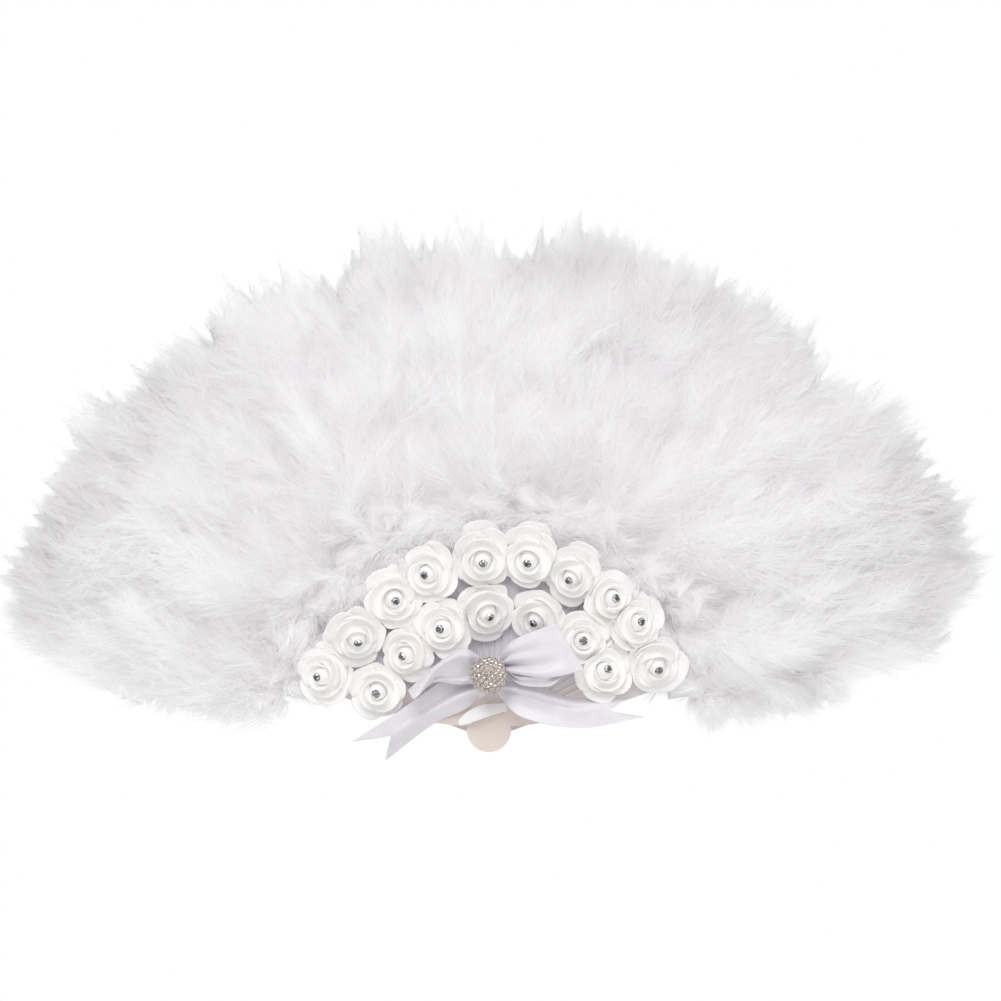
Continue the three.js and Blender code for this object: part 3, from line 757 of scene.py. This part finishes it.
def feathers(rng, plume, facing, planted):
    """Barbs and quills of feathers on one face of a plume, each as points, quads and triangles."""
    roots, heading, length, level = planted
    count = len(roots)
    ahead = flat_points(1, heading)
    aside = flat_points(1, heading + 90)
    curl = rng.normal(0, SHAFT_CURL, count)
    if plume.outer:
        curl = plume.outer * np.minimum(plume.outer * curl - 0.12, 0)

    def shaft(shares):
        """Points on every shaft at shares of its length, one row for each feather."""
        along = length[:, None, None] * shares[:, None]
        bend = (curl * length)[:, None, None] * shares[:, None] ** 2
        points = roots[:, None] + ahead[:, None] * along + aside[:, None] * bend
        stand = swell_at(points, plume, facing) * level[:, None]
        points[..., 1] = plume.depth + facing * stand * (0.35 + 0.65 * smooth(shares, 0, 0.5))
        return points

    places = np.linspace(0.04, 1, WISPS_PER_SIDE * BARBS_PER_WISP)
    starts = shaft(places)
    forward = unit(shaft(places + 0.01) - shaft(places - 0.01))
    out = np.array([0, facing, 0])
    beside = unit(np.cross(forward, out))
    share = places[:, None]
    shape = (count, len(places), 1)
    size = np.clip(length / SHAFT_LENGTH[0], 0.62, 1.1)[:, None, None]
    t = np.linspace(0, 1, BARB_POINTS)[:, None]
    middle = BARBS_PER_WISP // 2
    centres = []
    for side in (-1, 1):
        spread = np.radians(lerp(*BARB_SPREAD, share**0.8) + rng.normal(0, 7, shape))
        roll = np.radians((OUTER_BARB_ROLL if plume.outer else BARB_ROLL) + rng.normal(0, 38, shape))
        sideways = side * np.cos(roll) * beside + np.sin(roll) * out
        course = np.cos(spread) * forward + np.sin(spread) * sideways
        reach = BARB_LENGTH * size * (0.5 + 0.5 * np.sin(math.pi * (0.2 + 0.72 * share)))
        span = (reach * rng.uniform(0.75, 1.15, shape))[..., None]
        bent = 0.3 * t**2 * (forward - course)[:, :, None]
        points = starts[:, :, None] + span * (t * course[:, :, None] + bent)
        phase = rng.uniform(0, 1, (*shape, 1))
        points += span * t * np.sin(2 * math.pi * (0.9 * t + phase)) * rng.normal(0, 0.06, (*shape, 3))
        points[..., 2] -= (span * 0.06 * t**2)[..., 0]
        wisps = points.reshape(count, WISPS_PER_SIDE, BARBS_PER_WISP, BARB_POINTS, 3)
        wisps = lerp(wisps, wisps[:, :, middle : middle + 1], WISP_PULL * t**1.5)
        centres.append(wisps.reshape(-1, BARB_POINTS, 3))
    centres = within_rim(laid_over(np.concatenate(centres), facing), rng)
    tilt = rng.normal(0, 0.6, (len(centres), 1, 3))
    barbs = strips(centres, BARB_WIDTH * (1 - 0.65 * t), tilt + out)
    steps = np.linspace(0, 1, SHAFT_POINTS)
    quills = strips(shaft(steps), SHAFT_WIDTH * (1 - 0.7 * steps[:, None]), out)
    return [barbs, quills]


def down_pad(plume):
    """The close inner down that hides the stick: a lumpy closed pad, as points and quads."""
    rows, columns = 30, 15
    radius = np.linspace(PLUME_START - 5, PAD_END, rows)[:, None]
    share = np.clip(plume_share(radius), 0, 1)
    across = np.linspace(-1, 1, columns)[None, :]
    spread = np.full((rows, columns), PITCH * 0.56)
    if plume.outer:
        spread = np.where(across * plume.outer > 0, outer_droop(share) - 5, spread)
    flat = flat_points(radius, plume.lean + across * spread)
    closing = np.sqrt(np.clip(1 - across**4, 0, 1)) * smooth(radius, PLUME_START, PLUME_START + 16)
    closing = closing * smooth(-radius, -PAD_END, 20 - PAD_END)
    depth = lerp(0.18, 0.36, smooth(radius, PLUME_START, PLUME_START + 80))
    sheets = []
    for facing in (FRONT, BACK):
        sheet = flat.copy()
        stand = 0.75 + depth * closing * swell_at(flat, plume, facing)
        sheet[..., 1] = plume.depth + facing * stand
        sheets.append(sheet.reshape(-1, 3))
    count = rows * columns
    rim = rim_of(rows, columns)
    after = np.roll(rim, -1)
    sides = np.stack([rim, after, count + after, count + rim], 1)
    front = grid_quads(rows, columns)[:, ::-1]
    back = grid_quads(rows, columns, count)
    return np.concatenate(sheets), np.concatenate([front, back, sides])


def make_plumes():
    for number, (side, place) in enumerate(STICKS):
        name = f"{side}_{place}"
        plume = SimpleNamespace(
            lean=SIDES[side] * (place - 0.5) * PITCH,
            outer=SIDES[side] if place == STICKS_PER_SIDE else 0,
            depth=middle_of(f"stick_{name}")[1],
            seed=1.7 * number,
        )
        times = OUTER_TIMES if plume.outer else 1
        pad = mesh_object(f"plume_{name}_down", *down_pad(plume))
        dressed(pad, marabou, "feather", name, f"plume_{name}")
        for face, facing in (("front", FRONT), ("back", BACK)):
            rng = np.random.default_rng(100 * number + 3 + facing)
            long = long_feathers(rng, int(FEATHERS[facing] * times), plume)
            collar = collar_feathers(rng, COLLAR_FEATHERS, plume)
            parts = feathers(rng, plume, facing, long) + feathers(rng, plume, facing, collar)
            if plume.outer:
                parts += feathers(rng, plume, facing, edge_feathers(rng, EDGE_FEATHERS, plume))
            piece = mesh_object(f"plume_{name}_{face}", *joined(parts))
            dressed(piece, marabou, "feather", name, f"plume_{name}")


# Roses
def leaned(points, lean):
    """Bends points over, so that the middle of the rose's top moves by lean."""
    offset = math.hypot(*lean)
    if offset < 1e-6:
        return points
    across, up = lean[0] / offset, lean[1] / offset
    angle = 2 * offset / ROSE_HEIGHT
    turn = angle * points[..., 2] / ROSE_HEIGHT
    bend = ROSE_HEIGHT / angle
    forward = points[..., 0] * across + points[..., 1] * up
    moved = bend * (1 - np.cos(turn)) + forward * (np.cos(turn) - 1)
    height = (bend - forward) * np.sin(turn)
    return np.stack([points[..., 0] + moved * across, points[..., 1] + moved * up, height], -1)


def petal(middle, spread, foot, rim, low, high, roll, cup, tuck):
    """The middle surface of one petal, as a grid: it rises from its foot and rolls back at its rim."""
    across = np.linspace(-1, 1, 19)[None, :]
    up = np.linspace(0, 1, 11)[:, None]
    top = 1 - 0.42 * np.abs(across) ** 2.8
    share = up * top
    angle = np.radians(middle) + np.radians(spread) * across * (0.7 + 0.3 * up)
    rolled = roll * smooth(share, 0.72, 1)
    radius = lerp(foot, rim, 1 - (1 - share) ** cup) + tuck * across + rolled
    return around(radius, angle, lerp(low, high, share) - 0.45 * rolled)


def rolled_strip(start, turns, inner, outer, low, inner_top, outer_top, flare):
    """A strip wound round the middle: a grid from its inner end to its outer one."""
    along = np.linspace(0, 1, int(26 * turns) + 8)[None, :]
    up = np.linspace(0, 1, 9)[:, None]
    angle = np.radians(start) + 2 * math.pi * turns * along
    ends = np.minimum(smooth(along, -0.02, 0.12), smooth(1 - along, -0.02, 0.14))
    radius = lerp(inner, outer, along) * (0.8 + 0.2 * up) + flare * smooth(up, 0.6, 1)
    return around(radius, angle, lerp(low, lerp(inner_top, outer_top, along) * (0.78 + 0.22 * ends), up))


def whorl(rng, turn, count, arc, wander, rims, tops, tucks, shape):
    """A ring of petals, each a grid, that vary a little."""
    grids = []
    for i in range(count):
        middle = turn + 360 / count * i + rng.uniform(-wander, wander)
        rim = rng.uniform(*rims)
        high = rng.uniform(*tops)
        grids.append(petal(middle, arc / count, rim=rim, high=high, tuck=rng.uniform(*tucks), **shape))
    return grids


def rose_surfaces(turn, rng):
    """The petals of a rose, each a grid, from the outer whorl to the bud."""
    grids = whorl(rng, turn, rng.integers(*OUTER_PETALS), **OUTER_WHORL)
    grids += whorl(rng, turn + INNER_TURN, INNER_PETALS, **INNER_WHORL)
    grids.append(rolled_strip(turn + rng.uniform(0, 360), **BUD_STRIP))
    return grids


def stone(radius):
    """A round brilliant-cut stone: points and the triangles of its facets, its girdle at height 0."""
    sides, edges = STONE_SIDES, 2 * STONE_SIDES
    # Each ring's radius, height, number of points and first angle, from the middle of the table down
    rings = [
        (0, 0.5, 1, 0), (0.55, 0.5, sides, 0), (0.8, 0.32, sides, 180 / sides),
        (1, 0.02, edges, 0), (0.9, -0.3, edges, 0), (0, -0.3, 1, 0),
    ]
    points = []
    for out, height, count, start in rings:
        turn = np.radians(start + 360 / count * np.arange(count))
        points.append(around(radius * out, turn, radius * height))
    top, table, stars, girdle, foot, tip = np.cumsum([0] + [len(ring) for ring in points])[:-1]
    triangles = []
    for k in range(sides):
        here, star, low = table + k, stars + k, girdle + 2 * k
        after = table + (k + 1) % sides
        beyond = girdle + (2 * k + 2) % edges
        triangles += [(top, here, after), (here, star, after), (after, star, beyond)]
        triangles += [(star, here, low), (star, low, low + 1), (star, low + 1, beyond)]
    for k in range(edges):
        high, low = girdle + k, foot + k
        after = (k + 1) % edges
        triangles += [(high, low, girdle + after), (girdle + after, low, foot + after)]
        triangles.append((tip, foot + after, low))
    return np.concatenate(points), np.array(triangles)


def painted_stone_glints(rng):
    """Painted reflections on each facet of one stone: a dark table, light and dark round it, and an even
    foot.
    """
    table = np.full((STONE_SIDES, 1), rng.uniform(0, 0.45))
    crown = rng.uniform(0, 1, (STONE_SIDES, 5)) ** 0.8
    return [*np.hstack([table, crown]).ravel(), *[0.5] * (6 * STONE_SIDES)]


def store_painted_glints(piece, values):
    """Stores a number for each face, which the crystal's painted reflections follow."""
    layer = piece.data.attributes.new("facet", "FLOAT", "FACE")
    layer.data.foreach_set("value", np.asarray(values, np.float32))


def rose_seat(node):
    """The middle of the rose's base, on the front plate."""
    mesh = frame["nodes"][node].data
    points = np.array([vertex.co for vertex in mesh.vertices]) / MM
    base = points[points[:, 1] > points[:, 1].max() - 0.02]
    return np.unique(base.round(3), axis=0).mean(0)


def pressed(points, centre, others):
    """Presses a rose's petals back from the planes halfway to its neighbours."""
    for other in others:
        distance = np.linalg.norm(other - centre)
        if distance > PRESSED_WITHIN:
            continue
        way = (other - centre) / distance
        reach = (points - centre) @ way
        limit = distance / 2 + PRESS_OVERLAP
        start = PRESS_START * limit
        points = points + (softly_limited(reach, start, limit - start) - reach)[:, None] * way
    return points


def make_roses():
    leans = {}
    for arc, row in ROSE_LEANS.items():
        for i, lean in enumerate(row):
            leans[f"rose_{arc}_{i + 1}"] = lean
    seats = {name: rose_seat(name) for name in leans}
    centres = [seats[name] + np.array([lean[0] / 2, 0, lean[1] / 2]) for name, lean in leans.items()]
    for i, (name, lean) in enumerate(leans.items()):
        rng = np.random.default_rng(900 + i)

        def placed(points):
            bent = leaned(points, lean)
            return seats[name] + np.stack([bent[..., 0], -bent[..., 2], bent[..., 1]], -1)

        parts = [thick_sheet(grid, FOAM_THICKNESS) for grid in rose_surfaces(i * GOLDEN_ANGLE, rng)]
        points, quads = joined([*parts, turned(BUD_PROFILE), turned(CUP_PROFILE)])
        points[:, :2] *= rng.uniform(0.96, 1.06)
        points = pressed(placed(points), centres[i], centres[:i] + centres[i + 1 :])
        if name in BACK_PETALS:
            turn, reach = BACK_PETALS[name]
            back_points, back_quads = thick_sheet(petal(90 - turn, rim=reach, **BACK_PETAL), FOAM_THICKNESS)
            points, quads = joined([(points, quads), (placed(back_points), back_quads)])
        dressed(mesh_object(name + "_foam", points, quads), foam, "foam", "root", name)
        gem_points, gem_triangles = stone(STONE_RADIUS)
        gem_points = gem_points + np.array([0, 0, STONE_HEIGHT])
        gem = mesh_object(name + "_stone", placed(gem_points), [], gem_triangles, False)
        store_painted_glints(gem, painted_stone_glints(rng))
        dressed(gem, rose_crystal, "crystal", "root")


# Bow
KNOT = middle_of("bow_knot")
KNOT_FRONT, SEAT_DEPTH = box_of("bow_knot")[:, 1]


def ribbon(node, grid, flat_width, flat_length, material=satin, body="root"):
    """A ribbon in place of a node, about a grid whose rows run along it, with a weave map in millimetres."""
    rows, columns = grid.shape[:2]
    piece = mesh_object(node + "_satin", *thick_sheet(grid, RIBBON_THICKNESS))
    across, along = np.meshgrid(np.linspace(0, flat_width, columns), np.linspace(0, flat_length, rows))
    places = np.stack([across, along], 2).reshape(-1, 2)
    places = np.concatenate([places, places, places[rim_of(rows, columns)]])
    corners = np.zeros(len(piece.data.loops), np.int32)
    piece.data.loops.foreach_get("vertex_index", corners)
    layer = piece.data.uv_layers.new(name="weave")
    layer.data.foreach_set("uv", places[corners].astype(np.float32).ravel())
    return dressed(piece, material, "satin", body, node)


def folded(profile, across):
    """How far forward a ribbon's folds stand at shares across it, smoothly through a profile's points."""
    places, heights = np.array(profile, float).T
    fine = np.linspace(0, 1, 200)
    run = np.interp(fine, places, np.linspace(0, 1, len(places)))
    curve = curve_through(np.stack([heights, 0 * heights], 1), run)[:, 0]
    return np.interp(across, fine, curve)


def between_edges(upper, lower, shares, across):
    """Points of a ribbon, seen from the front, at shares along its edges and across it: X and Z."""
    high = curve_through(upper, shares)[:, None]
    low = curve_through(lower, shares)[:, None]
    return lerp(low, high, across[None, :, None])


def seen_at(seen, depth, above):
    """Points from X and Z as seen from the front, from their depth, and from the height that Z starts at."""
    return np.stack(np.broadcast_arrays(seen[..., 0], depth, above + seen[..., 1]), -1)


def fold_ridges(seen, across, profiles, kept, begun, ended):
    """How far forward the folds of each row stand, so deep that the ribbon keeps its width across them.

    The first profile's folds have begun by a share in each row, and become the second's by another.
    """
    near, end = (folded(profile, across)[None, :] for profile in profiles)
    ridges = lerp(near * begun[:, None], end, ended[:, None])
    step = np.linalg.norm(np.diff(seen, axis=1), axis=2)
    rise = np.diff(ridges, axis=1)
    shallow = np.zeros(len(seen))
    deep = np.full(len(seen), 2.6)
    for _ in range(20):
        middle = (shallow + deep) / 2
        width = np.hypot(step, rise * middle[:, None]).sum(1)
        wide = width > lerp(*kept, ended) * RIBBON_WIDTH
        deep = np.where(wide, middle, deep)
        shallow = np.where(wide, shallow, middle)
    even = np.convolve(np.pad(shallow, 3, mode="edge"), np.ones(7) / 7, mode="valid")
    return ridges * even[:, None]


def bow_loop(upper, lower, folds, end_folds, kept, drop):
    """A loop's grid: out from the knot along its front, and back behind."""
    t = np.linspace(0, 1, 85)
    across = np.linspace(0, 1, 41)
    out = np.sin(math.pi * t)
    front = np.cos(math.pi * t)
    seen = between_edges(upper, lower, out, across)
    inner = lerp(seen, seen.mean(1, keepdims=True), 0.22)
    behind = smooth(t, 0.5, 0.62) * (1 - smooth(out, 0.9, 1))
    seen = lerp(seen, inner, behind[:, None, None])
    lowered = drop * behind * smooth(out, 0.05, 0.45) * (1 - smooth(out, 0.7, 0.95))
    seen[..., 1] -= lowered[:, None]
    root = lerp(SEAT_DEPTH, KNOT_FRONT, 0.75)
    depth = root - LOOP_DEPTH * front * (0.3 + 0.7 * out) - LOOP_FORWARD * out
    ridges = fold_ridges(seen, across, (folds, end_folds), kept, smooth(out, 0, 0.25), smooth(out, 0.6, 1))
    ridges = ridges * lerp(1, -0.6, smooth(t, 0.5, 0.75))[:, None]
    ridges = ridges + lowered[:, None] * (1 - across) ** 2
    return seen_at(seen, depth[:, None] - ridges, KNOT[2])


def bow_tail(upper, lower, forward, folds, end_folds, kept):
    """A tail's grid, from the knot to its swallow-tail end, and its length."""
    t = np.linspace(0, 1, 61)
    across = np.linspace(0, 1, 41)
    length = length_of(between_edges(upper, lower, t, np.array([0.5]))[:, 0])
    cut = TAIL_NOTCH / length * (1 - np.abs(2 * across - 1))
    stand = np.array([[place, 0] for place in forward], float)
    whole = between_edges(upper, lower, t, across)
    ridges = fold_ridges(whole, across, (folds, end_folds), kept, smooth(t, 0, 0.2), smooth(t, 0.3, 1))
    columns = []
    for column, place in enumerate(across):
        run = t * (1 - cut[column])
        seen = between_edges(upper, lower, run, np.array([place]))[:, 0]
        off_seat = curve_through(stand, run)[:, 0] + np.interp(run, t, ridges[:, column])
        columns.append(seen_at(seen, SEAT_DEPTH - off_seat, KNOT[2]))
    return np.stack(columns, 1), length


def knot_grid():
    """A short band of ribbon wrapped round the gathered middle, its pleats running round it."""
    low, high = box_of("bow_knot")
    half_width, depth, half_height = (high - low) / 2
    turn = np.linspace(-0.5, 0.5, 49)[:, None] * 2 * math.pi * 0.97
    across = np.linspace(-0.5, 0.5, 25)[None, :]
    waist = 0.86 + 0.14 * (2 * across) ** 2 + 0.05 * np.cos(2 * math.pi * 4 * across)
    x = 2 * across * half_width + 0 * turn
    y = -depth * np.cos(turn) * waist
    z = half_height * np.sin(turn) * waist
    return KNOT + np.stack([x, y, z], 2)


def middle_length(grid):
    return length_of(grid[:, grid.shape[1] // 2])


def make_bow():
    for node, sizes in (("bow_loop_left", LEFT_LOOP), ("bow_loop_right", RIGHT_LOOP)):
        grid = bow_loop(**sizes)
        ribbon(node, grid, RIBBON_WIDTH, middle_length(grid))
    for node, sizes in (("bow_tail_left", LEFT_TAIL), ("bow_tail_right", RIGHT_TAIL)):
        grid, length = bow_tail(**sizes)
        ribbon(node, grid, RIBBON_WIDTH, length)
    grid = knot_grid()
    width = length_of(grid[grid.shape[0] // 2])
    ribbon("bow_knot", grid, width, middle_length(grid))


def make_tuck():
    """A narrow strip, folded under along its lower edge and stitched there."""
    rows, columns = 41, 21
    t = np.linspace(0, 1, rows)
    across = np.linspace(0, 1, columns)
    shown = np.clip((across - TUCK_FOLD) / (1 - TUCK_FOLD), 0, 1)
    under = np.clip((TUCK_FOLD - across) / TUCK_FOLD, 0, 1)
    seen = between_edges(TUCK["upper"], TUCK["lower"], t, np.maximum(shown, 0.45 * under))
    out = 4 - 3 * shown + 0.8 * np.sin(math.pi * shown) - 1.6 * smooth(under, 0, 0.5)
    front = box_of("ribbon_tuck")[0][1] - 1.2
    grid = seen_at(seen, front - out[None, :] * np.sin(math.pi * t)[:, None], 0)
    # The tuck's satin is painted whiter against the shadow of the ball and knot
    ribbon("ribbon_tuck", grid, TUCK_WIDTH, middle_length(grid), shade_lifted_satin)
    parts = []
    edge = grid[:, int(columns * TUCK_FOLD) + 1]
    over = np.array([0, -1, 0])
    for place in np.linspace(0.3, 0.92, TUCK_STITCHES):
        middle, ahead = (np.array([np.interp(at, t, row) for row in edge.T]) for at in (place, place + 0.02))
        points, quads = turned(STITCH_PROFILE, 8)
        way = unit(ahead - middle)
        side = np.cross(way, over)
        stitch = middle + points[:, 2:] * way + points[:, :1] * side + 0.6 * points[:, 1:2] * over
        parts.append((stitch + 0.2 * over, quads))
    stitches = mesh_object("tuck_stitches", *joined(parts))
    dressed(stitches, thread, "satin", "root")


def link_piece(node, first, last, from_stick, to_stick, body):
    """A ribbon from behind one stick to in front of the next, or to behind it if it rides on the root."""
    t = np.linspace(0, 1, 25)
    lean = lerp(first, last, t) + np.sign(last - first) * lerp(0.75, -0.75, t)
    from_depth = box_of(from_stick)[1, 1] + LINK_OFF_STICK
    to_front, to_back = box_of(to_stick)[:, 1]
    to_depth = to_back + LINK_OFF_STICK if body == "root" else to_front - LINK_OFF_STICK
    across = np.linspace(-0.5, 0.5, 7) * LINK_WIDTH
    grid = flat_points(LINK_RADIUS + across[None, :], lean[:, None])
    grid[..., 1] = lerp(from_depth, to_depth, smooth(t, 0.3, 0.7))[:, None]
    return ribbon(node, grid, LINK_WIDTH, middle_length(grid), body=body)


def make_links():
    """The short ribbons between sticks, each following the two sticks that it joins."""
    for side, sign in SIDES.items():
        for place in range(2, STICKS_PER_SIDE + 1):
            node = f"link_ribbon_{side}_{place}"
            first = sign * (place - 1.5) * PITCH
            last = sign * (place - 0.5) * PITCH
            piece = link_piece(node, first, last, f"stick_{side}_{place - 1}", f"stick_{side}_{place}", None)
            ends = flat_points(LINK_RADIUS, lerp(first, last, np.array([0.2, 0.8])))
            ends[:, 1] = middle_of(node)[1]
            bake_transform(piece)
    link_piece("link_ribbon_middle", -PITCH / 2, PITCH / 2, "stick_left_1", "stick_right_1", "root")


# Crystal ball
def make_ball():
    low, high = box_of("crystal_ball")
    centre = (low + high) / 2
    radius = (high[0] - low[0]) / 2
    core = radius - BALL_CORE_DEPTH
    rings, sides = 17, 32
    polar = np.linspace(0.04, math.pi - 0.04, rings)[:, None]
    turn = np.linspace(0, 2 * math.pi, sides + 1)[None, :]
    grid = around(core * np.sin(polar), turn, core * np.cos(polar))
    ball = mesh_object("ball_resin", centre + grid.reshape(-1, 3), grid_quads(rings, sides + 1))
    dressed(ball, resin, "crystal", "root", "crystal_ball")
    rng = np.random.default_rng(4)
    size = BALL_PACKING * radius / math.sqrt(BALL_STONES)
    shape, facets = stone(size)
    parts = []
    # Painted reflections for the facets of every stone on the ball
    shades = []
    for i in range(BALL_STONES):
        height = 1 - 2 * (i + 0.5) / BALL_STONES
        out = around(math.sqrt(1 - height**2), math.radians(GOLDEN_ANGLE * i), height)
        side = unit(np.cross(out, (0.3, 0.2, 0.9)))
        other = np.cross(out, side)
        base = centre + out * (radius - 0.55 * size)
        parts.append((base + shape[:, :1] * side + shape[:, 1:2] * other + shape[:, 2:] * out, facets))
        shades += painted_stone_glints(rng)
    points, triangles = joined(parts)
    stones = mesh_object("ball_stones", points, [], triangles, False)
    store_painted_glints(stones, shades)
    dressed(stones, ball_crystal, "crystal", "root", "crystal_ball")


# Camera, light and floor
def make_camera():
    width = MM_PER_PIXEL * PHOTO_SIZE
    centre_x = (PHOTO_SIZE / 2 - PIVOT_PIXEL[0]) * MM_PER_PIXEL
    centre_z = (PIVOT_PIXEL[1] - PHOTO_SIZE / 2) * MM_PER_PIXEL
    data = bpy.data.cameras.new("camera")
    data.lens = LENS
    data.sensor_width = SENSOR
    scene.camera = new_object("camera", data)
    scene.camera.location = (centre_x * MM, -width * LENS / SENSOR * MM, centre_z * MM)
    scene.camera.rotation_euler = (math.pi / 2, 0, 0)


def seen_rays(tree):
    """1 for rays from the camera, off gloss or through glass, and 0 for light that falls on the fan."""
    path = add_node(tree, "LightPath")
    total = path.outputs["Is Camera Ray"]
    for kind in ("Is Glossy Ray", "Is Transmission Ray"):
        most = add_node(tree, "Math", links={0: total, 1: path.outputs[kind]}, operation="MAXIMUM")
        total = most.outputs["Value"]
    return total


def make_world():
    scene.world = bpy.data.worlds.new("studio")
    scene.world.use_nodes = True
    tree = scene.world.node_tree
    ambient = tree.nodes["Background"]
    set_inputs(ambient, {"Color": (1, 1, 1, 1), "Strength": AMBIENT})
    white = add_node(tree, "Background", {"Color": (1, 1, 1, 1), "Strength": 1})
    ways = {"Fac": seen_rays(tree), 1: ambient.outputs["Background"], 2: white.outputs["Background"]}
    mixed = add_node(tree, "MixShader", links=ways)
    tree.links.new(mixed.outputs["Shader"], tree.nodes["World Output"].inputs["Surface"])


def make_lamps():
    target = scene.camera.location.copy()
    target.y = 0
    for name, (power, place) in LAMPS.items():
        data = bpy.data.lights.new(name, "AREA")
        data.shape = "SQUARE"
        data.size = LAMP_SIZE
        data.energy = power
        lamp = new_object(name, data)
        lamp.location = place
        lamp.rotation_euler = (target - lamp.location).to_track_quat("-Z", "Y").to_euler()


def make_floor():
    turn = np.linspace(0, 2 * math.pi, FLOOR_SIDES, endpoint=False)
    points = np.concatenate([around(FLOOR_RADIUS, turn, -FLOOR_DROP), [[0, 0, -FLOOR_DROP]]])
    here = np.arange(FLOOR_SIDES)
    triangles = np.stack([here, (here + 1) % FLOOR_SIDES, np.full(FLOOR_SIDES, FLOOR_SIDES)], 1)
    floor = mesh_object("floor", points, [], triangles)
    material, _, shader = new_material("pale floor")
    set_inputs(shader, {"Base Color": colour(250, 250, 250), "Roughness": 0.9})
    floor.data.materials.append(material)


make_camera()
make_world()
make_lamps()
make_floor()
dress_hard_pieces()
make_plumes()
make_links()
make_roses()
make_bow()
make_tuck()
make_ball()

scene.view_settings.view_transform = "Standard"
scene.cycles.max_bounces = 24
scene.cycles.diffuse_bounces = 16
scene.cycles.transmission_bounces = 16
